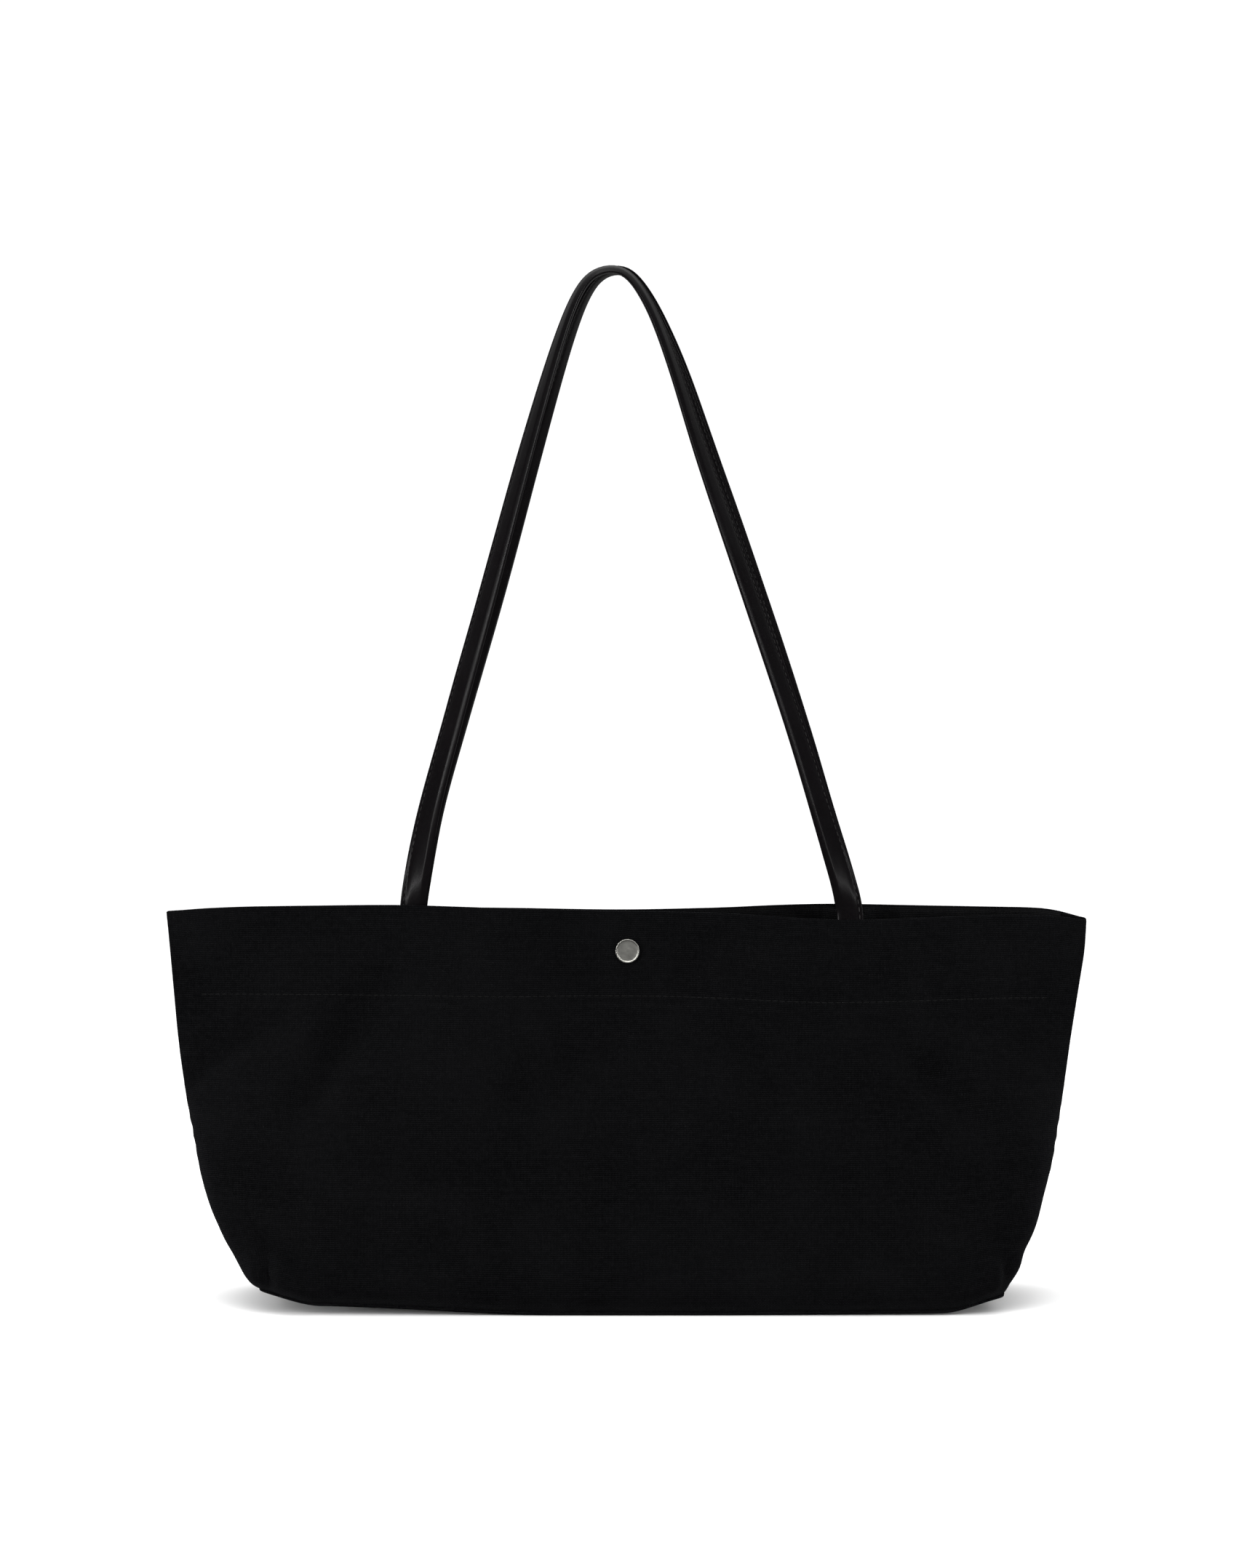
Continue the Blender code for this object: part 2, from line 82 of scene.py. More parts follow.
# ---- the shape of the canvas body ----
SEAM_HALF_WIDTH = 0.2065  # side seams: flared upwards, tucked in at the base corners
SEAM_FLARE = 0.118
CORNER_TUCK = {-1: 0.0315, 1: 0.0245}  # left, right
CORNER_REACH = 0.026
BASE_HALF_DEPTH = 0.0490
RIM_HALF_DEPTH = 0.0148
BELLY = 0.0025
SQUARENESS = 9.0  # how much squarer than an ellipse the plan is at the base
SQUARE_FADE = 3.5  # how fast that is lost up the walls
PLAN_STEPS = 400
# Additions to the half width, as (height, amount): the side seams aren't quite straight.
OUTLINE = {
    -1: [
        (0.0, 0.0018), (0.025, -0.0016), (0.060, 0.0008), (0.100, 0.0036), (0.132, 0.0045),
        (0.199, 0.0020),
    ],
    1: [
        (0.0, 0.0034), (0.022, -0.0058), (0.045, -0.0010), (0.090, 0.0), (0.140, 0.0012),
        (0.187, 0.0024), (0.199, 0.0006),
    ],
}
OUTLINE_BLUR = 0.010  # the additions are averaged this far up and down
# The base corners lift off the ground: (start of the lift, slow rise before it, lift).
BASE_LIFT = {-1: (0.152, 0.0047, 0.0064), 1: (0.156, 0.0010, 0.0066)}
SLOW_LIFT = (0.030, 0.160)  # from the middle, where the slow rise starts and ends
LIFT_END = 0.188
SEAM_LIFT = 0.0085  # a side seam's foot stands this far off the ground
LIFT_FADE = 0.025
PINCH_HALF_WIDTH = 0.055  # the snapped centre, drawn together
PINCH_TOP = 0.165
SNAP_LAYER = 0.0041  # of a wall's middle surface from the middle plane, at the stud
ROLL = 0.014  # radius of the soft edge where a wall turns under to the base
ROLL_START = 25.0  # degrees, where the wall's bottom edge lies on the base cloth
HEM = 0.0433  # the row of stitches that holds the facing lies this far below the rim
FOLD = 0.00105  # outer radius of the fold at the rim
TURNED_EDGE = 0.0080  # the panel's own edge, turned in below the fold
CELL = 0.0023  # size of the cloth's mesh cells
SEAM_TRIM = 0.012  # share of its length by which the turned edge stops short of a seam


def smooth(value, low, high):
    share = np.clip((value - low) / (high - low), 0.0, 1.0)
    return share * share * (3.0 - 2.0 * share)


def bell(distance, half):
    return np.exp(-((distance / half) ** 2))


def unit(rows):
    return rows / np.linalg.norm(rows, axis=1, keepdims=True)


def half_width(height, hand):
    tuck = CORNER_TUCK[hand] * math.exp(-height / CORNER_REACH)
    near = height + np.linspace(-OUTLINE_BLUR, OUTLINE_BLUR, 9)
    extra = np.interp(near, *zip(*OUTLINE[hand])).mean()
    return SEAM_HALF_WIDTH + SEAM_FLARE * height - tuck + extra


def half_depth(height):
    share = height / RIM
    taper = BASE_HALF_DEPTH + (RIM_HALF_DEPTH - BASE_HALF_DEPTH) * share
    return taper + BELLY * np.sin(math.pi * share)


def corner_lift(x, level):
    """How far the base corners stand off the ground, fading out up the walls."""
    rise = np.zeros_like(x)
    for hand, (start, slow, lift) in BASE_LIFT.items():
        out = np.maximum(hand * x, 0.0)
        rise += slow * smooth(out, *SLOW_LIFT) + lift * smooth(out, start, LIFT_END)
    return rise * np.exp(-level / LIFT_FADE)


def plan_row(level, inset, shares, hand):
    """(x, depth, length) at shares of the way from the middle of a wall to one side seam."""
    level = min(level, RIM)
    boxy = (1.0 - level / RIM) ** SQUARE_FADE
    along = 2.0 + SQUARENESS * boxy
    across = 1.0 + (SQUARENESS + 1.0) * boxy
    turn = np.linspace(0.0, math.pi / 2, PLAN_STEPS)
    seam_level = level + SEAM_LIFT * math.exp(-level / LIFT_FADE)
    x = (half_width(seam_level, hand) - 0.2 * inset) * np.sin(turn) ** (2.0 / along)
    depth = (half_depth(level) - inset) * np.cos(turn) ** (2.0 / across)
    # The press stud draws the middle together.
    target = SNAP_LAYER + (BASE_HALF_DEPTH - SNAP_LAYER) * max(0.0, 1.0 - level / PINCH_TOP)
    strength = np.exp(-((x / PINCH_HALF_WIDTH) ** 2.5)) * smooth(level, 0.02, 0.13)
    depth = depth + (target - depth) * strength
    length = np.concatenate([[0.0], np.cumsum(np.hypot(np.diff(x), np.diff(depth)))])
    at = shares * length[-1]
    return np.interp(at, length, x), np.interp(at, length, depth), length[-1]


def wall_row(level, inset, shares, hand):
    """Points of one row of a half wall's middle surface, front or back alike."""
    x, depth, length = plan_row(level, inset, shares, hand)
    z = np.full_like(x, level) + corner_lift(hand * x, max(level, 0.0))
    return np.stack([hand * x, depth, z], axis=1), length


# ---- folds and dents in the cloth ----
# Each is a soft valley with a low ridge on both sides: (x, z) of both ends, how far it
# bows, its half width and its depth, all in millimetres.
FOLD_STRENGTH = 2.4
RIDGE_HEIGHT = 0.45  # share of the valley's depth
RIDGE_PLACE, RIDGE_WIDTH = 1.9, 1.1  # shares of the valley's half width
FRONT_FOLDS = [
    (-125, 160, -172, 92, 3, 9.0, 1.7),
    (-226, 108, -172, 139, 4, 6.5, 1.3),
    (34, 147, 132, 24, -6, 10.0, 1.5),
    (68, 166, 202, 60, 13, 8.5, 1.4),
    (-58, 60, -118, 61, -3, 9.0, 0.8),
    (-112, 172, -191, 18, -8, 15.0, 0.9),
    (112, 172, 196, 16, 9, 15.0, 0.9),
    (-196, 42, -150, 8, 3, 5.0, 1.2),
    (-181, 32, -178, 5, 1, 3.2, 1.3),
    (187, 30, 188, 5, 1, 3.0, 1.3),
    (205, 52, 160, 6, -3, 6.0, 1.0),
    (-20, 118, 14, 66, 4, 11.0, 0.8),
    (150, 150, 214, 122, 4, 7.0, 0.9),
]
BACK_FOLDS = [
    (118, 162, 176, 88, -4, 9.0, 1.6),
    (222, 112, 170, 142, -4, 7.0, 1.2),
    (-30, 150, -128, 30, 7, 10.0, 1.5),
    (-74, 160, -198, 66, -10, 9.0, 1.3),
    (112, 172, 191, 18, 8, 15.0, 0.9),
    (-112, 172, -196, 16, -9, 15.0, 0.9),
    (181, 32, 179, 5, 1, 3.2, 1.2),
    (-187, 30, -186, 5, 1, 3.0, 1.2),
    (12, 110, 66, 58, 6, 10.0, 0.9),
]
# The rim's own rise and fall: (x, height), in millimetres.
FRONT_RIM = [
    (-230, -1.6), (-218, -0.1), (-194, 1.3), (-170, 1.9), (-133, 2.7), (-115, 2.9), (-97, 2.5),
    (-73, 1.7), (-48, 0.3), (0, -1.1), (50, -1.4), (85, -3.6), (105, -4.7), (118, -4.8),
    (141, -4.2), (160, -3.5), (184, -2.7), (202, -2.8), (218, -3.8), (231, -6.3),
]
BACK_RIM = [
    (-230, -2.4), (-218, -2.2), (-194, -1.7), (-150, -1.2), (-110, -1.0), (-50, -1.05),
    (0, -1.1), (50, -0.6), (80, 0.4), (102, 1.0), (141, 0.5), (184, 0.15), (204, 0.1),
    (216, -0.8), (225, -3.4), (231, -6.0),
]
RIM_BLUR = np.linspace(-0.008, 0.008, 5)  # shifts over which the rise is averaged
# Waves and dents that wear and sewing leave in the cloth: height, then size.
BROAD_WAVE, SMALL_WAVE, RIM_WAVE = (0.0011, 0.060), (0.00035, 0.017), (0.00045, 0.040)
GROOVE = (0.00055, 0.0016)  # the cloth is drawn in along the hem's stitches
PUFF, PUFF_START = 0.0010, 0.110  # and stands out a little below them
PUCKER, PUCKER_PITCH, PUCKER_REACH = 0.00022, 0.0105, 0.006
CAP_RING = (0.0004, 0.0105, 0.003)  # raised ring round the cap: height, radius, half width


def fold_line(x, z, row):
    x0, z0, x1, z1, bow, width, depth = [value / 1000 for value in row]
    run = np.array([x1 - x0, z1 - z0])
    length = np.linalg.norm(run)
    run /= length
    along = ((x - x0) * run[0] + (z - z0) * run[1]) / length
    inside = np.clip(along, 0.0, 1.0)
    across = (z - z0) * run[0] - (x - x0) * run[1]
    across -= bow * 4.0 * inside * (1.0 - inside)
    beyond = (along - inside) * length
    fade = np.sin(math.pi * np.clip(0.06 + 0.88 * inside, 0, 1)) ** 0.8
    fade = fade * bell(beyond, width)
    ridge = bell(np.abs(across) - RIDGE_PLACE * width, RIDGE_WIDTH * width)
    return FOLD_STRENGTH * depth * fade * (RIDGE_HEIGHT * ridge - bell(across, width))


def waviness(x, z, scale, seed):
    flat = [
        noise.noise(Vector((px / scale, pz / scale, seed))) for px, pz in zip(x.ravel(), z.ravel())
    ]
    return np.array(flat).reshape(x.shape)


def sculpt(x, level, side):
    """How far the cloth stands out of its smooth shape: folds, puckers and soft waves."""
    seed, folds = (3.7, FRONT_FOLDS) if side == FRONT else (9.1, BACK_FOLDS)
    stitch = RIM - HEM
    out = sum(fold_line(x, level, row) for row in folds)
    out = out * (1.0 - smooth(level, RIM - 0.040, RIM - 0.018))
    body = smooth(level, 0.004, 0.03) * (1.0 - smooth(level, RIM - 0.030, RIM - 0.010))
    for (height, size), squash, turn, share in (
        (BROAD_WAVE, 1.0, 0.0, body),
        (SMALL_WAVE, 1.0, 5.0, body),
        (RIM_WAVE, 0.3, 8.0, smooth(level, 0.13, RIM)),
    ):
        out = out + height * waviness(x, level * squash, size, seed + turn) * share
    out = out - GROOVE[0] * bell(level - stitch, GROOVE[1])
    above = smooth(level, stitch - PUCKER_REACH, stitch)
    out = out + PUFF * smooth(level, PUFF_START, stitch - PUCKER_REACH) * (1 - above)
    wander = 2.0 * waviness(x, level, 0.030, seed + 2.0)
    puckers = np.sin(2 * math.pi * x / PUCKER_PITCH + wander)
    out = out + PUCKER * puckers * bell(level - stitch + 0.004, PUCKER_REACH)
    height, radius, half = CAP_RING
    return out + height * bell(np.hypot(x, level - SNAP_CENTRE.z) - radius, half)


def rim_rise(x, level, side):
    table = np.array(FRONT_RIM if side == FRONT else BACK_RIM) / 1000
    rise = sum(np.interp(x + shift, table[:, 0], table[:, 1]) for shift in RIM_BLUR)
    return rise / len(RIM_BLUR) * (np.clip(level, 0.0, RIM) / RIM) ** 3


# ---- building cloth ----
def wall_path():
    """A wall's rows from its bottom edge, over the rim, to its turned edge inside.

    Each row is (level, inset of the plan, distance out of the surface, trim at the seam).
    """
    rows = []
    for angle in np.radians(np.linspace(ROLL_START, 90.0, 9))[:-1]:
        rows.append((ROLL * (1 - math.cos(angle)), ROLL * (1 - math.sin(angle)), 0.0, 0.0))
    top = RIM - FOLD
    count = int(round((top - ROLL) / CELL))
    rows += [(level, 0.0, 0.0, 0.0) for level in np.linspace(ROLL, top, count)]
    for turn in np.radians([25, 50, 75, 100, 125, 150, 180]):
        round_turn = 1.0 - math.cos(turn)
        trim = SEAM_TRIM * round_turn / 2
        rows.append((top + FOLD * math.sin(turn), 0.0, -FOLD * round_turn, trim))
    inside = np.linspace(top, RIM - TURNED_EDGE, 5)[1:]
    return rows + [(level, 0.0, -2 * FOLD, SEAM_TRIM) for level in inside]


def half_shares():
    """Shares of the way from the middle to a side seam, crowded at the seam."""
    width = 0.240
    near_seam = [0.0, 0.00015, 0.0005, 0.0010, 0.0017, 0.0027, 0.0042]
    even = np.linspace(0.0, 1.0 - 0.0062 / width, 100)
    return np.array(list(even) + [1 - gap / width for gap in near_seam[::-1]])


NORMAL_STEP = 0.0006  # up the wall, between the rows that give a point its normal
SHARE_STEP = 0.002  # sideways, between the points that give it
EDGE_RADIUS = (0.0011, 0.0012)  # of the rounded side seams: at the rim, and more at the base
RIPPLE = (0.00035, 0.0085, 0.007)  # along the side seams: height, pitch, reach
DEEPEST = 0.00012  # the cloth keeps this far from the middle plane


def surface(rows, shares, hand, side, out_of=None, deepest=DEEPEST):
    """Grids of points, of cloth coordinates and of normals for half a wall.

    out_of is an extra distance out of the surface for each point, as a function of x.
    """
    points, normals, cloth = [], [], []
    run = 0.0
    last = None
    for level, inset, out, trim in rows:
        part = shares * (1.0 - trim)
        here, length = wall_row(level, inset, part, hand)
        level_up, inset_up = level + NORMAL_STEP, 0.0
        if inset > 0.0:
            more = math.asin(1.0 - inset / ROLL) + 0.04
            level_up, inset_up = ROLL * (1 - math.cos(more)), ROLL * max(0.0, 1 - math.sin(more))
        low_level = min(level, RIM - NORMAL_STEP)
        below = wall_row(low_level, inset, part, hand)[0]
        above = wall_row(min(level_up, RIM), inset_up, part, hand)[0]
        wide, slim = (
            wall_row(low_level, inset, np.clip(part + step, 0, 1), hand)[0]
            for step in (SHARE_STEP, -SHARE_STEP)
        )
        normal = unit(np.cross(above - below, (wide - slim) * hand))
        from_seam = (1.0 - part) * length
        x, flat_level = here[:, 0], np.full(len(part), min(level, RIM))
        away = CANVAS + out
        if out_of is not None:
            away = away + out_of(x)
        away = away + sculpt(x, flat_level, side) * smooth(from_seam, 0.0, 0.010)
        radius = EDGE_RADIUS[0] + EDGE_RADIUS[1] * (1.0 - flat_level / RIM) ** 2
        over = np.clip(radius - from_seam, 0.0, radius)
        away = away - (radius - np.sqrt(radius**2 - over**2))
        height, pitch, reach = RIPPLE
        ripple = height * np.sin(2 * math.pi * level / pitch + 3 * hand + side)
        away = away + ripple * bell(from_seam, reach) * smooth(from_seam, 0.0, 0.004)
        spot = here + normal * np.broadcast_to(away, x.shape)[:, None]
        spot[:, 1] += SEAM_GAP
        spot[:, 2] += rim_rise(x, level, side)
        if inset > 0.0:
            spot[:, 2] += CANVAS * (1.0 - smooth(level, 0.0, ROLL))
        spot[:, 1] = np.maximum(spot[:, 1], deepest)
        if last is not None:
            run += float(np.median(np.linalg.norm(spot - last, axis=1)))
        last = spot
        points.append(spot)
        normals.append(normal)
        cloth.append(np.stack([hand * part * length, np.full(len(part), run)], axis=1))
    return np.array(points), np.array(cloth), np.array(normals)


def add_piece(name, vertices, faces, coordinates=None):
    """A new object; coordinates are one (u, v) per vertex, as its UV map."""
    mesh = bpy.data.meshes.new(name)
    mesh.from_pydata(vertices, [], faces)
    if coordinates is not None:
        uv = mesh.uv_layers.new(name="cloth")
        corners = np.zeros(len(mesh.loops), dtype=np.int32)
        mesh.loops.foreach_get("vertex_index", corners)
        uv.data.foreach_set("uv", coordinates[corners].ravel())
    made = bpy.data.objects.new(name, mesh)
    scene.collection.objects.link(made)
    return made


def pick_only(piece):
    bpy.ops.object.select_all(action="DESELECT")
    piece.select_set(True)
    bpy.context.view_layer.objects.active = piece


def apply_modifiers(piece):
    pick_only(piece)
    for modifier in list(piece.modifiers):
        bpy.ops.object.modifier_apply(modifier=modifier.name)
    piece.select_set(False)


def smooth_shade(piece, angle=50.0):
    pick_only(piece)
    bpy.ops.object.shade_smooth_by_angle(angle=math.radians(angle))
    piece.select_set(False)


def outward_normals(piece):
    pick_only(piece)
    bpy.ops.object.mode_set(mode="EDIT")
    bpy.ops.mesh.select_all(action="SELECT")
    bpy.ops.mesh.normals_make_consistent(inside=False)
    bpy.ops.object.mode_set(mode="OBJECT")
    piece.select_set(False)


def cloth_object(name, points, cloth, side, thickness, flip=False):
    """A sheet of cloth from a grid of points, given its thickness towards the inside."""
    points = points * np.array([1.0, side, 1.0])
    rows, columns = points.shape[:2]
    index = np.arange(rows * columns).reshape(rows, columns)
    quads = np.stack([index[:-1, :-1], index[:-1, 1:], index[1:, 1:], index[1:, :-1]], axis=-1)
    quads = quads.reshape(-1, 4)
    if flip:
        quads = quads[:, ::-1]
    made = add_piece(name, points.reshape(-1, 3).tolist(), quads.tolist(), cloth.reshape(-1, 2))
    shell = made.modifiers.new("thickness", "SOLIDIFY")
    shell.thickness = thickness
    shell.offset = -1.0
    shell.use_rim = True
    apply_modifiers(made)
    smooth_shade(made)
    return made


# ---- shader node groups ----
def new_group(name, inputs, outputs):
    """A node group: inputs as {name: number, or None for a vector}, outputs by name."""
    group = bpy.data.node_groups.new(name, "ShaderNodeTree")
    for label, value in inputs.items():
        kind = "NodeSocketVector" if value is None else "NodeSocketFloat"
        socket = group.interface.new_socket(label, in_out="INPUT", socket_type=kind)
        if value is not None:
            socket.default_value = value
    for label in outputs:
        group.interface.new_socket(label, in_out="OUTPUT", socket_type="NodeSocketFloat")
    return group, group.nodes.new("NodeGroupInput"), group.nodes.new("NodeGroupOutput")


def maths(tree, operation, one, two=None, three=None):
    node = tree.nodes.new("ShaderNodeMath")
    node.operation = operation
    for socket, value in zip(node.inputs, (one, two, three)):
        if value is None:
            continue
        if isinstance(value, (int, float)):
            socket.default_value = value
        else:
            tree.links.new(value, socket)
    return node.outputs[0]


def noise_value(tree, vector, scale, detail=2.0, roughness=0.5):
    node = tree.nodes.new("ShaderNodeTexNoise")
    node.inputs["Scale"].default_value = scale
    node.inputs["Detail"].default_value = detail
    node.inputs["Roughness"].default_value = roughness
    tree.links.new(vector, node.inputs["Vector"])
    return node.outputs["Fac"]


def ranged(tree, value, *limits):
    """A value rescaled, held inside its limits: from low, from high, to low, to high."""
    node = tree.nodes.new("ShaderNodeMapRange")
    for socket, number in zip(("From Min", "From Max", "To Min", "To Max"), limits):
        node.inputs[socket].default_value = number
    tree.links.new(value, node.inputs["Value"])
    return node.outputs[0]


def object_place(tree):
    return tree.nodes.new("ShaderNodeTexCoord").outputs["Object"]


def split_vector(tree, vector):
    node = tree.nodes.new("ShaderNodeSeparateXYZ")
    tree.links.new(vector, node.inputs[0])
    return node.outputs


def join_vector(tree, *sources):
    node = tree.nodes.new("ShaderNodeCombineXYZ")
    feed(tree, node, dict(enumerate(sources)))
    return node.outputs[0]


def feed(tree, node, sources):
    """Links sources to a node's sockets, from {socket: source}."""
    for socket, source in sources.items():
        tree.links.new(source, node.inputs[socket])


def weave_group():
    """Plain weave from cloth coordinates in metres: thread relief, and shade per thread."""
    group, start, end = new_group(
        "plain weave",
        {"Cloth": None, "Rib Pitch": RIB_PITCH, "Warp Pitch": WARP_PITCH, "Wobble": 0.00025},
        ("Relief", "Shade"),
    )
    cloth = start.outputs["Cloth"]
    split = split_vector(group, cloth)
    drift = maths(group, "SUBTRACT", noise_value(group, cloth, 90.0), 0.5)
    shift = maths(group, "MULTIPLY", drift, start.outputs["Wobble"])
    waves, counts, humps = {}, {}, {}
    for label, axis, pitch in (("weft", "Y", "Rib Pitch"), ("warp", "X", "Warp Pitch")):
        place = maths(group, "MULTIPLY_ADD", shift, 4.0, split[axis])
        count = maths(group, "DIVIDE", place, start.outputs[pitch])
        counts[label] = maths(group, "FLOOR", count)
        waves[label] = maths(group, "SINE", maths(group, "MULTIPLY", count, math.pi))
        humps[label] = maths(group, "MULTIPLY", maths(group, "ABSOLUTE", waves[label]), 0.5)
    over = maths(group, "MULTIPLY", maths(group, "MULTIPLY", waves["weft"], waves["warp"]), 0.5)
    weft = maths(group, "SUBTRACT", humps["weft"], over)
    warp = maths(group, "ADD", humps["warp"], over)
    relief = maths(group, "MAXIMUM", maths(group, "MULTIPLY", weft, 1.12), warp)
    fuzz = noise_value(group, cloth, 5200.0, 2.0, 0.7)
    relief = maths(group, "MULTIPLY_ADD", fuzz, 0.22, relief)
    each = group.nodes.new("ShaderNodeTexWhiteNoise")
    each.noise_dimensions = "1D"
    group.links.new(counts["weft"], each.inputs["W"])
    along = maths(group, "MULTIPLY", split["X"], 60.0)
    rib = maths(group, "MULTIPLY", counts["weft"], 0.37)
    slub = noise_value(group, join_vector(group, along, rib), 1.0)
    shade = maths(group, "MULTIPLY_ADD", each.outputs["Value"], 0.35, slub)
    feed(group, end, {"Relief": relief, "Shade": shade})
    return group


def tone_group():
    """Slow changes of tone over a piece, and bright specks, in object space."""
    group, start, end = new_group("slow tone", {"Size": 0.06}, ("Tone", "Specks"))
    place = object_place(group)
    scaled = group.nodes.new("ShaderNodeVectorMath")
    scaled.operation = "DIVIDE"
    size = join_vector(group, *[start.outputs["Size"]] * 3)
    feed(group, scaled, {0: place, 1: size})
    tone = noise_value(group, scaled.outputs[0], 1.0, 4.0, 0.6)
    fine = noise_value(group, place, 900.0, 3.0, 0.75)
    feed(group, end, {"Tone": tone, "Specks": ranged(group, fine, 0.66, 0.78, 0.0, 1.0)})
    return group


def grain_group():
    """Leather: fine pebbles, pores and shallow cross wrinkles, in object space."""
    group, start, end = new_group("leather grain", {"Pebble Size": 0.0007}, ("Relief", "Wear"))
    place = object_place(group)
    cells = group.nodes.new("ShaderNodeTexVoronoi")
    cells.feature = "SMOOTH_F1"
    cells.inputs["Smoothness"].default_value = 0.6
    scale = maths(group, "DIVIDE", 1.0, start.outputs["Pebble Size"])
    feed(group, cells, {"Scale": scale, "Vector": place})
    pebble = maths(group, "MULTIPLY", cells.outputs["Distance"], 0.6)
    creases = maths(group, "MULTIPLY", noise_value(group, place, 420.0, 4.0, 0.6), 0.9)
    wear = noise_value(group, place, 46.0, 4.0, 0.65)
    feed(group, end, {"Relief": maths(group, "ADD", pebble, creases), "Wear": wear})
    return group


def brushed_group():
    """Brushed metal: fine scratches along x, and faint blotches."""
    group, start, end = new_group("brushed metal", {"Stretch": 40.0}, ("Scratch", "Blotch"))
    place = object_place(group)
    split = split_vector(group, place)
    along = maths(group, "DIVIDE", split["X"], start.outputs["Stretch"])
    stretched = join_vector(group, along, split["Y"], split["Z"])
    scratch = noise_value(group, stretched, 9000.0, 3.0, 0.6)
    feed(group, end, {"Scratch": scratch, "Blotch": noise_value(group, place, 420.0, 3.0, 0.6)})
    return group


WEAVE, TONE, GRAIN, BRUSHED = weave_group(), tone_group(), grain_group(), brushed_group()


# ---- materials ----
def new_material(name, roughness, **settings):
    made = bpy.data.materials.new(name)
    made.use_nodes = True
    shader = made.node_tree.nodes["Principled BSDF"]
    shader.inputs["Roughness"].default_value = roughness
    for socket, value in settings.items():
        shader.inputs[socket.replace("_", " ")].default_value = value
    return made, made.node_tree, shader


def placed(tree, group, **values):
    node = tree.nodes.new("ShaderNodeGroup")
    node.node_tree = group
    for socket, value in values.items():
        node.inputs[socket.replace("_", " ")].default_value = value
    return node


def colour_mix(tree, factor, one, two):
    """A colour between two, each a tuple or an output, by an output."""
    node = tree.nodes.new("ShaderNodeMix")
    node.data_type = "RGBA"
    for socket, value in ((node.inputs[0], factor), (node.inputs[6], one), (node.inputs[7], two)):
        if isinstance(value, tuple):
            socket.default_value = (*value, 1.0)
        else:
            tree.links.new(value, socket)
    return node.outputs[2]


def ranged_mix(tree, value, low, high, most, one, two):
    """A colour that goes from one towards two, up to a share, as a value goes up."""
    return colour_mix(tree, ranged(tree, value, low, high, 0.0, most), one, two)


def bumped(tree, shader, relief, distance):
    node = tree.nodes.new("ShaderNodeBump")
    node.inputs["Distance"].default_value = distance
    tree.links.new(relief, node.inputs["Height"])
    tree.links.new(node.outputs[0], shader.inputs["Normal"])


def cloth_place(tree):
    """The piece's own cloth coordinates, in metres."""
    cloth = tree.nodes.new("ShaderNodeUVMap")
    cloth.uv_map = "cloth"
    return cloth.outputs[0]


LINT = (0.03, 0.03, 0.032)
WEAVE_RELIEF = 0.00030
PORE = (0.003, 0.003, 0.003)
LEATHER_RELIEF = 0.00003
PLY_TURN = 5200.0  # radians per metre along a stitch
PLY_RELIEF = 0.00008
# Painted shade: the colour at both ends of a stitch, for the shade in the needle holes where the
# thread dives into the cloth.
PAINTED_HOLE_SHADE = (0.0003, 0.0003, 0.0003)
SCRATCH_RELIEF = 0.000012
TAPE_RIB = 0.0009
TAPE_RELIEF = 0.00012


def canvas_material(name, dark, light):
    made, tree, shader = new_material(
        name, 0.9, Specular_IOR_Level=0.015, Sheen_Weight=0.022, Sheen_Roughness=0.30
    )
    shader.inputs["Sheen Tint"].default_value = (0.72, 0.74, 0.80, 1.0)
    weave = placed(tree, WEAVE)
    feed(tree, weave, {"Cloth": cloth_place(tree)})
    relief = weave.outputs["Relief"]
    tone = placed(tree, TONE, Size=0.05).outputs
    clumps = placed(tree, TONE, Size=0.0022).outputs
    # Painted shade: the hollows between the threads are coloured darker than the thread tops, by
    # the weave's relief.
    thread = ranged_mix(tree, relief, 0.35, 1.0, 1.0, dark, light)
    varied = ranged_mix(tree, weave.outputs["Shade"], 0.3, 1.0, 0.3, thread, dark)
    mottled = ranged_mix(tree, clumps["Tone"], 0.40, 0.62, 0.45, varied, dark)
    washed = ranged_mix(tree, tone["Tone"], 0.35, 0.75, 0.35, mottled, light)
    lint = ranged_mix(tree, tone["Specks"], 0.0, 1.0, 0.25, washed, LINT)
    rough = ranged(tree, relief, 0.2, 1.1, 1.0, 0.82)
    feed(tree, shader, {"Base Color": lint, "Roughness": rough})
    bumped(tree, shader, relief, WEAVE_RELIEF)
    return made


def leather_material(name, dark, light, roughness=0.28, coat=0.02):
    made, tree, shader = new_material(
        name, roughness, Specular_IOR_Level=0.070, Coat_Roughness=0.16
    )
    grain = placed(tree, GRAIN).outputs
    tone = placed(tree, TONE, Size=0.03).outputs["Tone"]
    worn = ranged_mix(tree, grain["Wear"], 0.42, 0.72, 0.8, dark, light)
    deep = colour_mix(tree, ranged(tree, grain["Relief"], 0.55, 0.95, 0.35, 0.0), worn, PORE)
    rough = ranged(tree, tone, 0.3, 0.7, roughness - 0.05, roughness + 0.09)
    polish = ranged(tree, grain["Wear"], 0.3, 0.7, coat, coat * 0.4)
    feed(tree, shader, {"Base Color": deep, "Roughness": rough, "Coat Weight": polish})
    bumped(tree, shader, grain["Relief"], LEATHER_RELIEF)
    return made


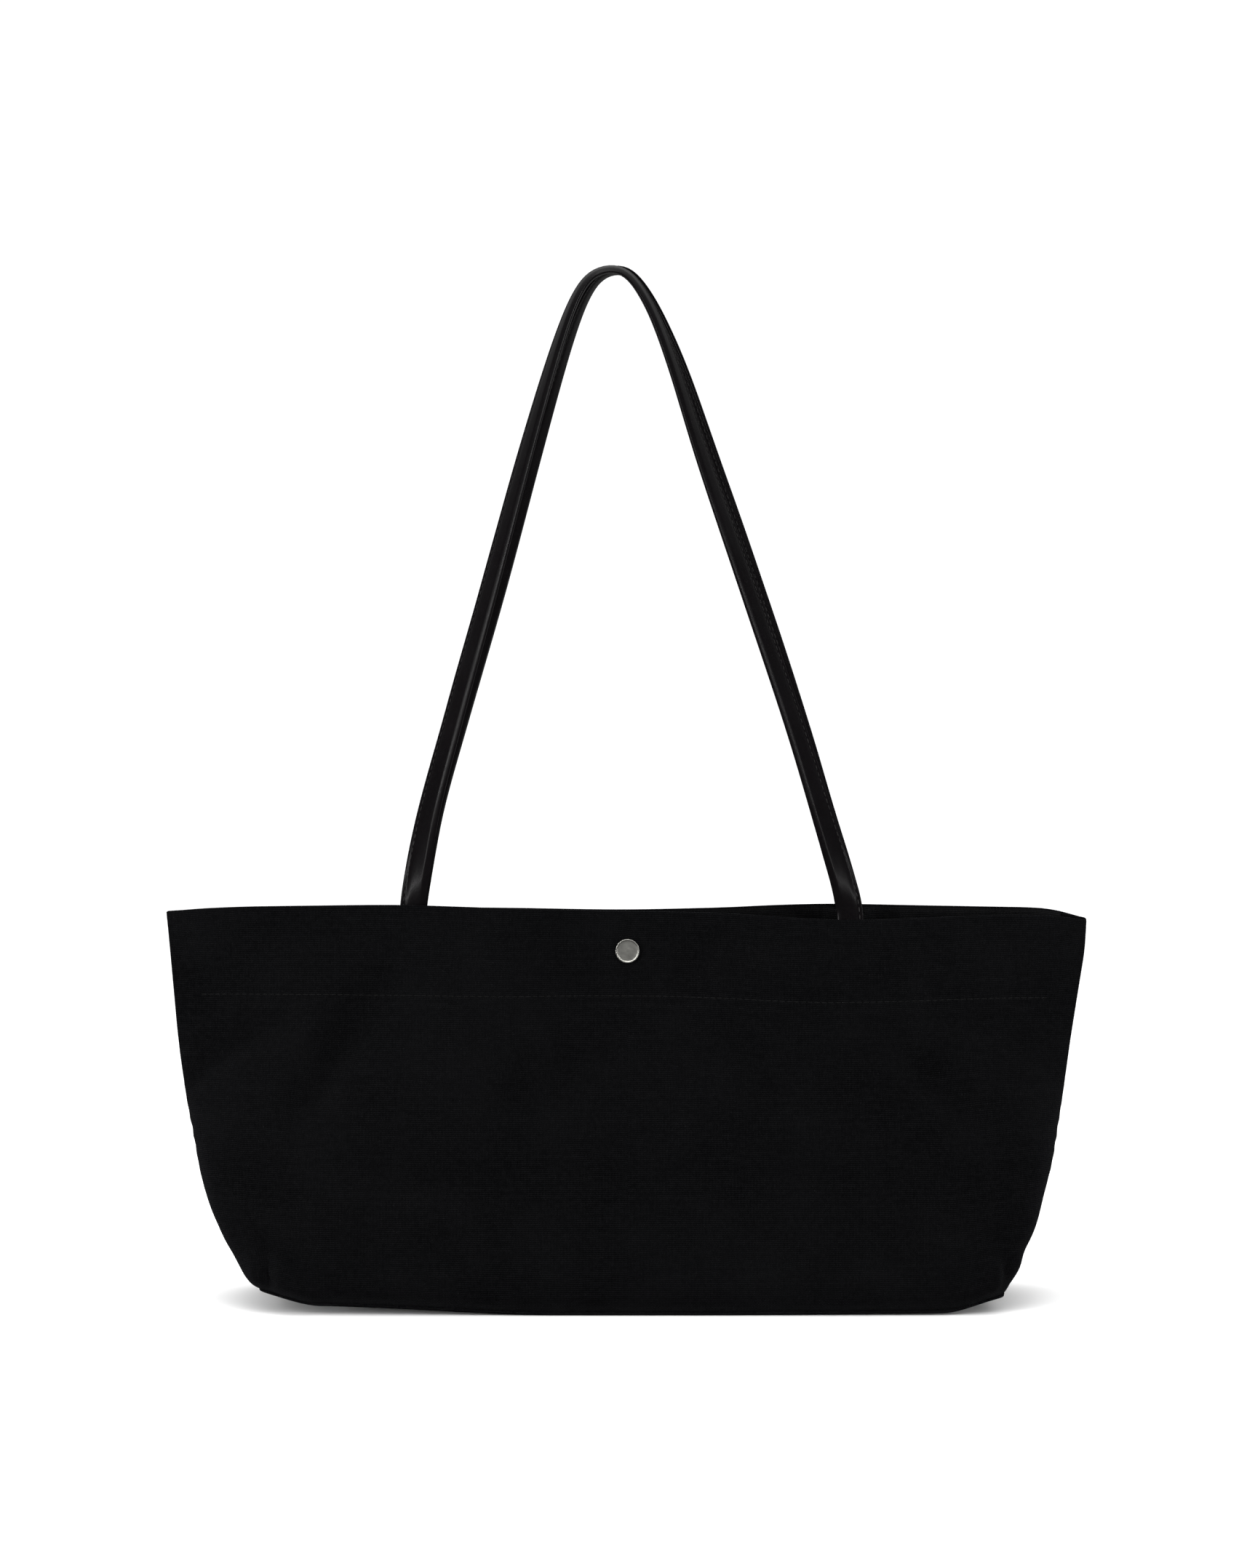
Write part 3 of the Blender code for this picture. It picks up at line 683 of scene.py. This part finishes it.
def thread_material(name, dark, light):
    """Twisted thread: slanting plies along each stitch, from the stitch's own coordinates, with
    painted shade in the grooves between the plies and at the stitch ends.
    """
    made, tree, shader = new_material(name, 0.6, Specular_IOR_Level=0.08, Sheen_Weight=0.02)
    place = split_vector(tree, cloth_place(tree))
    turn = maths(tree, "MULTIPLY", place["Y"], 6.283)
    slant = maths(tree, "MULTIPLY_ADD", place["X"], PLY_TURN, turn)
    ply = maths(tree, "ABSOLUTE", maths(tree, "SINE", slant))
    tone = placed(tree, TONE, Size=0.012).outputs["Tone"]
    # Painted shade: the grooves between the plies are coloured darker than the ply tops.
    groove_shaded = colour_mix(tree, ply, dark, light)
    faded = ranged_mix(tree, tone, 0.4, 0.7, 0.6, groove_shaded, dark)
    from_middle = maths(tree, "ABSOLUTE", place["X"])
    # Painted shade: both ends of each stitch are coloured near black, for the shade in the needle
    # holes.
    hole_shaded = ranged_mix(tree, from_middle, 0.0009, 0.0015, 0.9, faded, PAINTED_HOLE_SHADE)
    rough = ranged(tree, ply, 0.0, 1.0, 0.75, 0.5)
    feed(tree, shader, {"Base Color": hole_shaded, "Roughness": rough})
    bumped(tree, shader, ply, PLY_RELIEF)
    return made


def metal_material(name, dark, light, roughness):
    made, tree, shader = new_material(name, roughness, Metallic=1.0)
    brushed = placed(tree, BRUSHED).outputs
    tone = ranged_mix(tree, brushed["Blotch"], 0.35, 0.65, 1.0, dark, light)
    rough = ranged(tree, brushed["Scratch"], 0.3, 0.7, roughness - 0.07, roughness + 0.10)
    feed(tree, shader, {"Base Color": tone, "Roughness": rough})
    bumped(tree, shader, brushed["Scratch"], SCRATCH_RELIEF)
    return made


def tape_material(name, dark, light):
    """Ribbed cotton tape, its ribs across object space, with painted shade in the troughs between
    the ribs.
    """
    made, tree, shader = new_material(name, 0.85, Specular_IOR_Level=0.15, Sheen_Weight=0.1)
    place = split_vector(tree, object_place(tree))
    across = maths(tree, "ADD", place["X"], place["Z"])
    slant = maths(tree, "MULTIPLY_ADD", place["Y"], 0.6, across)
    count = maths(tree, "MULTIPLY", slant, math.pi / TAPE_RIB)
    rib = maths(tree, "ABSOLUTE", maths(tree, "SINE", count))
    tone = placed(tree, TONE, Size=0.02).outputs["Tone"]
    # Painted shade: the troughs between the ribs are coloured darker than the rib tops.
    groove_shaded = colour_mix(tree, rib, dark, light)
    faded = ranged_mix(tree, tone, 0.4, 0.7, 0.5, groove_shaded, dark)
    feed(tree, shader, {"Base Color": faded})
    bumped(tree, shader, rib, TAPE_RELIEF)
    return made


CANVAS_LOOK = canvas_material("black canvas", (0.0004, 0.0004, 0.0005), (0.0040, 0.0040, 0.0044))
# Painted light: the facing is the same black canvas as the walls, coloured lighter to stand in for
# the light that falls on the band inside the rim.
PAINTED_LIGHT_FACING_LOOK = canvas_material("facing canvas painted lighter", (0.0012, 0.0012, 0.0014), (0.0096, 0.0096, 0.0100))
BASE_LOOK = canvas_material("base canvas", (0.0004, 0.0004, 0.0005), (0.0050, 0.0049, 0.0053))
LEATHER_LOOK = leather_material("black leather", (0.0015, 0.0011, 0.0014), (0.0025, 0.0019, 0.0024))
THREAD_LOOK = thread_material("black thread", (0.0005, 0.0005, 0.0006), (0.0030, 0.0029, 0.0032))
STRAP_THREAD_LOOK = thread_material("strap thread", (0.004, 0.0037, 0.004), (0.020, 0.019, 0.019))
TAPE_LOOK = tape_material("binding tape", (0.0010, 0.0010, 0.0011), (0.0034, 0.0034, 0.0037))
NICKEL_LOOK = metal_material("brushed nickel", (0.43, 0.425, 0.395), (0.56, 0.555, 0.515), 0.36)
STUD_LOOK = metal_material("stud nickel", (0.34, 0.335, 0.315), (0.42, 0.41, 0.39), 0.28)


def finish_piece(piece, look):
    piece.data.materials.clear()
    piece.data.materials.append(look)


def bend_with_wall(piece):
    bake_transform(piece)


FACING_OUT = -0.0023  # the facing's outer face, from the panel's middle surface
FACING_END = 0.949  # share of the half width at which the facing stops, beside the seam


def facing_inset(x):
    """Room behind the facing for the strap ends and for the press stud's patch."""
    from_strap = np.abs(np.abs(x) - np.where(x < 0, HANDLE_ROOT[-1], HANDLE_ROOT[1]))
    tab = 1.0 - smooth(from_strap, 0.0072, 0.0120)
    patch = 1.0 - smooth(np.abs(x), 0.0150, 0.0190)
    return -(0.0019 * tab + 0.0003 * patch)


def make_walls():
    half = half_shares()
    inner = half[half < FACING_END]
    path = wall_path()
    band = [(0.0007, -0.0004), (0.0010, 0.0)]  # below the rim, and out of the facing's plane
    band += [(drop, 0.0) for drop in np.linspace(0.0016, HEM + 0.002, 20)]
    band += [(HEM + 0.0024, -0.0003)]
    facing_path = [(RIM - drop, 0.0, FACING_OUT + out, 0.0) for drop, out in band]
    for side in (FRONT, BACK):
        for hand in (-1, 1):
            wall_name = f"{LABEL[side]}_wall_{HAND[hand]}"
            points, cloth, _ = surface(path, half, hand, side)
            wall = cloth_object(wall_name, points, cloth, side, CANVAS, flip=hand * side > 0)
            finish_piece(wall, CANVAS_LOOK)
            bend_with_wall(wall)
            if hand > 0:
                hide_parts(LABEL[side] + "_panel")
            points, cloth, _ = surface(facing_path, inner, hand, side, facing_inset, 0.0010)
            name = f"{LABEL[side]}_facing_{HAND[hand]}"
            facing = cloth_object(name, points, cloth, side, FACING, flip=hand * side < 0)
            # The facing gets the lighter canvas: painted light on the band inside the rim.
            finish_piece(facing, PAINTED_LIGHT_FACING_LOOK)
            bend_with_wall(facing)
            if hand > 0:
                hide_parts(LABEL[side] + "_facing")


# ---- base cloth and its seam ----
def base_outline(inset):
    """(x, depth) of the base's back edge, from left to right."""
    (left, left_depth, _), (right, right_depth, _) = (
        plan_row(0.0, inset, np.linspace(0.0, 1.0, 90), hand) for hand in (-1, 1)
    )
    x = np.concatenate([-left[::-1], right[1:]])
    return x[1:-1], np.concatenate([left_depth[::-1], right_depth[1:]])[1:-1]


def make_base():
    x, depth = base_outline(0.35 * ROLL)
    thickness = CANVAS * 0.9
    across = np.linspace(-1.0, 1.0, 29)
    grid = np.zeros((len(across), len(x), 3))
    for row, share in enumerate(across):
        waves = 0.0005 * (1 + waviness(x, np.full_like(x, share * 0.05), 0.05, 21.0))
        height = corner_lift(x, 0.0) + waves * (1.0 - share**4) + thickness
        grid[row] = np.stack([x, share * depth, height], axis=1)
    base = cloth_object("base_cloth", grid, grid[:, :, :2], 1.0, thickness)
    finish_piece(base, BASE_LOOK)
    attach(base, "base")
    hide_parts("base_panel")


def tube_faces(rings, count, closed=False):
    """Quads between rings of count points each, around a tube."""
    faces = []
    for ring in range(rings if closed else rings - 1):
        here, there = ring * count, (ring + 1) % rings * count
        for step in range(count):
            after = (step + 1) % count
            faces.append((here + step, here + after, there + after, there + step))
    return faces


def make_base_binding():
    """Tape folded over the base seam's allowance, which stands up just inside the walls."""
    low, high, thick, edge = 0.0016, 0.0090, 0.0016, 0.0004
    shoulder = high - 0.0006
    profile = [
        (thick, low), (0.0, low), (0.0, shoulder), (edge, high), (thick - edge, high),
        (thick, shoulder),
    ]
    x, depth = base_outline(ROLL * 0.95)
    front, back = np.stack([x, -depth], axis=1), np.stack([x, depth], axis=1)
    outline = np.concatenate([front, back[::-1]])
    direction = unit(np.roll(outline, -1, axis=0) - np.roll(outline, 1, axis=0))
    inward = np.stack([-direction[:, 1], direction[:, 0]], axis=1)
    vertices = []
    for shift, height in profile:
        place = outline + inward * shift
        z = corner_lift(outline[:, 0], 0.0) + height
        if height > low:
            z = z + 0.0005 * waviness(place[:, 0], place[:, 1], 0.02, 5.0)
        vertices += np.column_stack([place, z]).tolist()
    faces = tube_faces(len(profile), len(outline), closed=True)
    made = add_piece("base_seam_tape", vertices, faces)
    outward_normals(made)
    smooth_shade(made, 60)
    finish_piece(made, TAPE_LOOK)
    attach(made, "base")
    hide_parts("base_seam_binding")


# ---- stitches ----
def stitch_shape(length, width, height):
    """The vertices and faces of one stitch, a plump little length of thread along x."""
    bpy.ops.mesh.primitive_uv_sphere_add(
        segments=8, ring_count=6, radius=0.5, rotation=(0.0, math.pi / 2, 0.0)
    )
    ball = bpy.context.object
    bpy.ops.object.transform_apply(location=False, rotation=True, scale=False)
    ball.scale = (length, width, height)
    bpy.ops.object.transform_apply(location=False, rotation=False, scale=True)
    spots = np.array([vertex.co for vertex in ball.data.vertices])
    faces = [tuple(face.vertices) for face in ball.data.polygons]
    bpy.data.objects.remove(ball, do_unlink=True)
    full = np.abs(spots[:, 0]) / (length / 2)
    spots[:, 0] *= 1.0 + 0.18 * (full - full**3)
    return spots, faces


def stitch_row(name, frames, size, look):
    """One mesh of stitches, each placed by (middle, direction along, direction out)."""
    shape, faces = stitch_shape(*size)
    turn = np.arctan2(shape[:, 2], shape[:, 1]) / (2 * math.pi)
    one = np.stack([shape[:, 0], turn], axis=1)
    vertices, polygons = [], []
    for count, (middle, along, out) in enumerate(frames):
        along = along / np.linalg.norm(along)
        across = np.cross(out, along)
        across /= np.linalg.norm(across)
        up = np.cross(along, across)
        lean = 0.10 * math.sin(count * 12.9898)
        vertices.append(shape @ np.stack([along, across + along * lean, up]) + middle)
        first = count * len(shape)
        polygons += [tuple(corner + first for corner in face) for face in faces]
    vertices = np.concatenate(vertices).tolist()
    made = add_piece(name, vertices, polygons, np.tile(one, (len(frames), 1)))
    outward_normals(made)
    smooth_shade(made, 80)
    finish_piece(made, look)
    return made


HEM_OUTSIDE, HEM_INSIDE = 0.00012, -0.0034  # how far out of the wall its stitches lie
HEM_STOP = 0.016  # they end this far from the side seam
HEM_INSIDE_SHARE = 0.94  # and inside at this share of the row


def make_hem_stitches():
    """The row that holds the facing, on both faces of each wall."""
    level = RIM - HEM
    step = 0.0012  # along the row, either side of a stitch's middle
    for side in (FRONT, BACK):
        mirror = np.array([1.0, side, 1.0])
        for hand in (-1, 1):
            _, length = wall_row(level, 0.0, np.array([0.0, 1.0]), hand)
            at = np.arange(STITCH_PITCH / 2, length - HEM_STOP, STITCH_PITCH)
            for face, way, out, extra, reach in (
                ("outside", 1.0, HEM_OUTSIDE, None, at),
                ("inside", -1.0, HEM_INSIDE, facing_inset, at[at < HEM_INSIDE_SHARE * length]),
            ):
                rows = [(level, 0.0, out, 0.0), (level + 0.001, 0.0, out, 0.0)]
                middle, after, before = (
                    surface(rows, (reach + shift) / length, hand, side, extra)
                    for shift in (0.0, step, -step)
                )
                frames = list(zip(
                    middle[0][0] * mirror,
                    (after[0][0] - before[0][0]) * mirror,
                    middle[2][0] * mirror * way,
                ))
                name = f"{LABEL[side]}_hem_stitches_{face}_{HAND[hand]}"
                row = stitch_row(name, frames, HEM_STITCH, THREAD_LOOK)
                bend_with_wall(row)


# ---- handles ----
HANDLE_ROOT = {-1: 0.1078, 1: 0.1116}  # a strap's middle at the rim: left, right
STRAP_HALF = 0.0070
CROWN_HEIGHT = STRAP_TOP - 0.0041
CROWN_X = -0.0070
CROWN_Y = 0.0075
# The legs' middle lines: (share of the height, left x, right x).
LEGS = [
    (0.02, -0.1070, 0.1102), (0.15, -0.0995, 0.0973), (0.30, -0.0868, 0.0823),
    (0.50, -0.0690, 0.0604), (0.70, -0.0517, 0.0382), (0.84, -0.0388, 0.0238),
    (0.92, -0.0304, 0.0143), (0.965, -0.0240, 0.0068), (0.991, -0.0174, 0.0002),
]
QUICK_TURN = 46.0  # degrees that a strap turns soon after it leaves the rim
QUICK_TURN_SHARE = 0.08
FULL_TURN = 80.0  # degrees, at the crown
LATE_TURN = 2.6  # how late the rest of the turn comes
STITCH_INSET = 0.0022  # from the sewn edge
# Half of the strap's section, from the slit at the sewn edge round to the fold, in mm:
# across from the middle, and out from the middle layer.
SECTION = [
    (-5.6, 0.02), (-6.9, 0.12), (-7.0, 0.35), (-6.95, 0.78), (-6.7, 0.98), (-6.2, 1.05),
    (-5.5, 0.99), (-4.8, 0.86), (-4.2, 1.02), (-3.3, 1.30), (-2.0, 1.50), (0.0, 1.60),
    (2.0, 1.66), (3.4, 1.68), (4.1, 1.64), (4.6, 1.48), (5.3, 1.18), (6.1, 0.76),
    (6.7, 0.36), (6.95, 0.0),
]
SWAY = {FRONT: 0.0, BACK: 0.0042}  # the back handle stands this far to the right
RING_STEP = 0.0024
TAB_FLAT, ROOT_SLIM = 0.52, 0.93  # the strap's thickness and width where it is sewn in
EDGE_WANDER = (0.00025, 0.05)  # of the sewn edge: how far, and over what length
TAB_BEHIND = 0.0031  # a strap end is caught this far behind the panel's face


def smooth_curve(points, steps):
    """A curve through the points (Catmull-Rom), with an even number of steps per span."""
    points = [Vector(point) for point in points]
    ends = [2 * points[0] - points[1]] + points + [2 * points[-1] - points[-2]]
    curve = []
    for a, b, c, d in zip(ends, ends[1:], ends[2:], ends[3:]):
        for step in range(steps):
            t = step / steps
            bend = 2 * b + (c - a) * t + (2 * a - 5 * b + 4 * c - d) * t**2
            curve.append((bend + (3 * b - a - 3 * c + d) * t**3) / 2)
    return curve + [points[-1]]


def handle_route(side):
    """The strap's middle line from one end, over the crown, to the other, in (x, depth, z)."""
    tabs = {-1: [], 1: []}
    for hand, ends in tabs.items():
        x = hand * HANDLE_ROOT[hand]
        for level in (TAB_LOW, RIM - 0.028, RIM - 0.020, RIM - 0.012, RIM - 0.005):
            row = wall_row(level, 0.0, np.linspace(0.30, 0.60, 400), hand)[0]
            index = int(np.argmin(np.abs(np.abs(row[:, 0]) - HANDLE_ROOT[hand])))
            depth = row[index, 1] + SEAM_GAP + CANVAS - TAB_BEHIND
            depth += float(sculpt(np.array([x]), np.array([level]), side)[0])
            ends.append((x, depth, level))
    root = tabs[1][-1][1] - 0.0006
    left, right = [], []
    for share, left_x, right_x in LEGS:
        height = RIM + (CROWN_HEIGHT - RIM) * share
        depth = root + (CROWN_Y - root) * share
        shift = SWAY[side] * math.sin(math.pi / 2 * min(1.0, share / 0.75))
        late = 1.0 - 0.55 * float(smooth(share, 0.75, 0.97))
        left.append((left_x + shift, depth, height))
        right.append((right_x + shift * late, depth, height))
    crown = [(CROWN_X + 0.8 * SWAY[side], CROWN_Y, CROWN_HEIGHT)]
    return tabs[-1] + left + crown + right[::-1] + tabs[1][::-1]


def even_steps(curve, step):
    points = np.array([tuple(point) for point in curve])
    length = np.concatenate([[0.0], np.cumsum(np.linalg.norm(np.diff(points, axis=0), axis=1))])
    at = np.linspace(0.0, length[-1], int(round(length[-1] / step)) + 1)
    return np.stack([np.interp(at, length, points[:, axis]) for axis in range(3)], axis=1), at


def strap_frames(side):
    """(centres, along, across towards the fold, face, flatness, distance) for each ring."""
    curve, at = even_steps(smooth_curve(handle_route(side), 14), RING_STEP)
    for _ in range(6):
        curve[1:-1] = (curve[:-2] + 2 * curve[1:-1] + curve[2:]) / 4
    curve = curve * np.array([1.0, side, 1.0])
    along = unit(np.gradient(curve, axis=0))
    foot = RIM + 0.0005
    share = np.clip((curve[:, 2] - foot) / (CROWN_HEIGHT - foot), 0.0, 1.0)
    quick = QUICK_TURN * (1.0 - np.exp(-share / QUICK_TURN_SHARE))
    twist = np.radians(quick + (FULL_TURN - QUICK_TURN) * share**LATE_TURN)[:, None]
    inward = np.stack([along[:, 2], np.zeros(len(along)), -along[:, 0]], axis=1)
    inward = unit(inward - along * np.sum(inward * along, axis=1, keepdims=True))
    outward = np.cross(along, inward)
    outward *= np.sign(outward[:, 1:2] * side)
    across = inward * np.cos(twist) + outward * np.sin(twist)
    flat = TAB_FLAT + (1.0 - TAB_FLAT) * smooth(curve[:, 2], RIM - 0.003, RIM + 0.012)
    return curve, along, across, np.cross(along, across), flat, at


def make_strap(side):
    handle = LABEL[side] + "_handle"
    curve, along, across, face, flat, at = strap_frames(side)
    top = [(w / 1000, h / 1000) for w, h in SECTION]
    profile = top + [(w, -h) for w, h in top[-2::-1]]
    most, run = EDGE_WANDER
    wander = most * np.array([noise.noise(Vector((s / run, 2.0 + side, 0.0))) for s in at])
    slim = ROOT_SLIM + (1.0 - ROOT_SLIM) * smooth(curve[:, 2], RIM - 0.002, RIM + 0.035)
    count = len(profile)
    vertices = []
    for ring in range(len(curve)):
        for width, height in profile:
            spread = width * slim[ring] + wander[ring] * (width < 0)
            spot = curve[ring] + across[ring] * spread + face[ring] * height * flat[ring]
            vertices.append(tuple(spot))
    last = (len(curve) - 1) * count
    faces = tube_faces(len(curve), count)
    faces += [tuple(range(count)), tuple(range(last, last + count))]
    made = add_piece(handle + "_leather", vertices, faces)
    outward_normals(made)
    smooth_shade(made, 42)
    finish_piece(made, LEATHER_LOOK)
    bend_with_handle(made)
    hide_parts(handle + "_strap", handle + "_core")
    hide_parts(handle + "_tab_left", handle + "_tab_right")
    frames = []
    line = -(STRAP_HALF - STITCH_INSET)
    for s in np.arange(STITCH_PITCH, at[-1] - STITCH_PITCH, STITCH_PITCH):
        middle, way, wide, out = (
            np.array([np.interp(s, at, row[:, axis]) for axis in range(3)])
            for row in (curve, along, across, face)
        )
        lift = 0.00090 * float(np.interp(s, at, flat)) + 0.00008
        for sign in (1.0, -1.0):
            frames.append((middle + wide * line + out * sign * lift, way, out * sign))
    row = stitch_row(handle + "_stitches", frames, STRAP_STITCH, STRAP_THREAD_LOOK)
    bend_with_handle(row)


def bend_with_handle(piece):
    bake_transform(piece)


# ---- press stud ----
def metal_disc(name, radius, thick, y, sides):
    """A disc on the press stud's line, that faces along y and has its middle at y."""
    bpy.ops.mesh.primitive_cylinder_add(
        vertices=sides, radius=radius, depth=thick, location=(0.0, y, SNAP_CENTRE.z),
        rotation=(math.pi / 2, 0.0, 0.0),
    )
    disc = bpy.context.object
    disc.name = name
    bpy.ops.object.transform_apply(location=True, rotation=True, scale=True)
    return disc


def step_face(disc, way, steps):
    """Steps the round face that looks along way * y: an inset, then a push along y, each."""
    for inset, push in steps:
        for parts in (disc.data.polygons, disc.data.edges, disc.data.vertices):
            parts.foreach_set("select", [False] * len(parts))
        round_faces = (face for face in disc.data.polygons if len(face.vertices) > 4)
        next(face for face in round_faces if face.normal.y * way > 0.9).select = True
        bpy.ops.object.mode_set(mode="EDIT")
        bpy.ops.mesh.select_mode(type="FACE")
        bpy.ops.mesh.inset(thickness=inset, depth=0.0)
        if push:
            bpy.ops.transform.translate(value=(0.0, push, 0.0))
        bpy.ops.object.mode_set(mode="OBJECT")


def finish_disc(disc, width, look):
    edge = disc.modifiers.new("rounded edge", "BEVEL")
    edge.width = width
    edge.segments = 3
    edge.limit_method = "ANGLE"
    edge.angle_limit = math.radians(32)
    apply_modifiers(disc)
    smooth_shade(disc, 35)
    finish_piece(disc, look)


def make_cap():
    """The stud's cap: a shallow brushed disc inside a raised, rolled rim."""
    cap = metal_disc("snap_cap_disc", CAP_RADIUS, CAP_THICK, CAP_FRONT + CAP_THICK / 2, 72)
    step_face(cap, -1, (
        (0.00018, 0.0), (0.00040, 0.0), (0.00025, 0.00042), (0.0012, 0.0), (0.0016, -0.00008),
        (0.0012, -0.00006),
    ))
    finish_disc(cap, 0.00022, NICKEL_LOOK)
    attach(cap, "front_wall")
    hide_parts("snap_cap")


def make_post():
    """The stud's rivet head on the back wall: a domed disc with a dimple."""
    low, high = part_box("snap_post")
    middle = high.y - POST_THICK / 2
    post = metal_disc("snap_post_head", (high.x - low.x) / 2, POST_THICK, middle, 48)
    step_face(post, 1, ((0.0009, 0.0), (0.0014, 0.0), (0.0006, -0.00025), (0.0006, -0.0001)))
    finish_disc(post, 0.00035, STUD_LOOK)
    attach(post, "back_wall")
    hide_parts("snap_post")


def repaint(name, look):
    nodes[name].data.materials.clear()
    nodes[name].data.materials.append(look)


# ---- stage ----
def add_light(name, place, aim, size, power, mirrored=True):
    lamp = bpy.data.lights.new(name, "AREA")
    lamp.shape = "RECTANGLE"
    lamp.size, lamp.size_y = size
    lamp.energy = power
    made = bpy.data.objects.new(name, lamp)
    made.location = place
    made.rotation_euler = (Vector(aim) - Vector(place)).to_track_quat("-Z", "Y").to_euler()
    made.visible_camera = False
    made.visible_glossy = mirrored
    scene.collection.objects.link(made)


def make_stage():
    bpy.ops.mesh.primitive_plane_add(size=12.0, location=(0.0, 0.0, 0.0))
    ground = bpy.context.object
    ground.name = "floor"
    pale, tree, shader = new_material("pale floor", 0.9, Specular_IOR_Level=0.0)
    blotches = noise_value(tree, object_place(tree), 3.0)
    feed(tree, shader, {"Base Color": colour_mix(tree, blotches, (0.90,) * 3, (0.915,) * 3)})
    ground.data.materials.append(pale)
    ground.visible_glossy = False
    world = bpy.data.worlds.new("studio")
    scene.world = world
    world.use_nodes = True
    tree = world.node_tree
    lighting, seen = tree.nodes["Background"], tree.nodes.new("ShaderNodeBackground")
    for node in (lighting, seen):
        node.inputs["Color"].default_value = (1.0, 1.0, 1.0, 1.0)
    seen.inputs["Strength"].default_value = 1.1
    sky = split_vector(tree, tree.nodes.new("ShaderNodeTexCoord").outputs["Generated"])
    above = ranged(tree, sky["Z"], 0.30, 0.90, 0.14, 1.75)
    behind = ranged(tree, sky["Y"], 0.35, 0.80, 0.0, 0.12)
    feed(tree, lighting, {"Strength": maths(tree, "ADD", above, behind)})
    camera_ray = tree.nodes.new("ShaderNodeLightPath").outputs["Is Camera Ray"]
    mix = tree.nodes.new("ShaderNodeMixShader")
    feed(tree, mix, {0: camera_ray, 1: lighting.outputs[0], 2: seen.outputs[0]})
    feed(tree, tree.nodes["World Output"], {0: mix.outputs[0]})
    add_light("front softbox", (0.0, -2.2, 1.7), (0.0, 0.0, 0.2), (1.6, 0.5), 6.0, False)
    for label, hand, low_power, strip_power in (("left", -1, 9.0, 28.0), ("right", 1, 8.0, 15.0)):
        low, high = (hand * 1.2, -0.5, 0.15), (hand * 1.5, -1.5, 0.7)
        add_light(label + " low panel", low, (0.0, 0.0, 0.1), (0.6, 0.3), low_power, False)
        add_light(label + " strip", high, (0.0, 0.0, 0.3), (0.12, 1.5), strip_power)
    add_light("top softbox", (-0.3, -0.5, 2.1), (0.0, 0.0, 0.1), (1.6, 1.2), 18.0)


def make_camera():
    """The camera looks a little down at the middle of the bag, from straight in front."""
    distance = 2.3
    tilt = math.radians(4.5)
    aim = Vector((0.0, 0.0, STRAP_TOP / 2))
    lens = bpy.data.cameras.new("camera")
    lens.sensor_fit = "VERTICAL"
    lens.sensor_height = 24.0
    lens.lens = 70.1
    lens.clip_start = 0.01
    made = bpy.data.objects.new("camera", lens)
    made.location = aim + distance * Vector((0.0, -math.cos(tilt), math.sin(tilt)))
    made.rotation_euler = (aim - made.location).to_track_quat("-Z", "Y").to_euler()
    scene.collection.objects.link(made)
    scene.camera = made


make_camera()
make_stage()
make_base()
make_walls()
make_base_binding()
make_hem_stitches()
for side in (FRONT, BACK):
    make_strap(side)
make_cap()
make_post()
for name in ("snap_socket", "snap_spring", "snap_stud"):
    repaint(name, STUD_LOOK)
for name in ("left_side_binding", "right_side_binding", "front_snap_patch", "back_snap_patch"):
    repaint(name, TAPE_LOOK)
scene.view_settings.view_transform = "Standard"
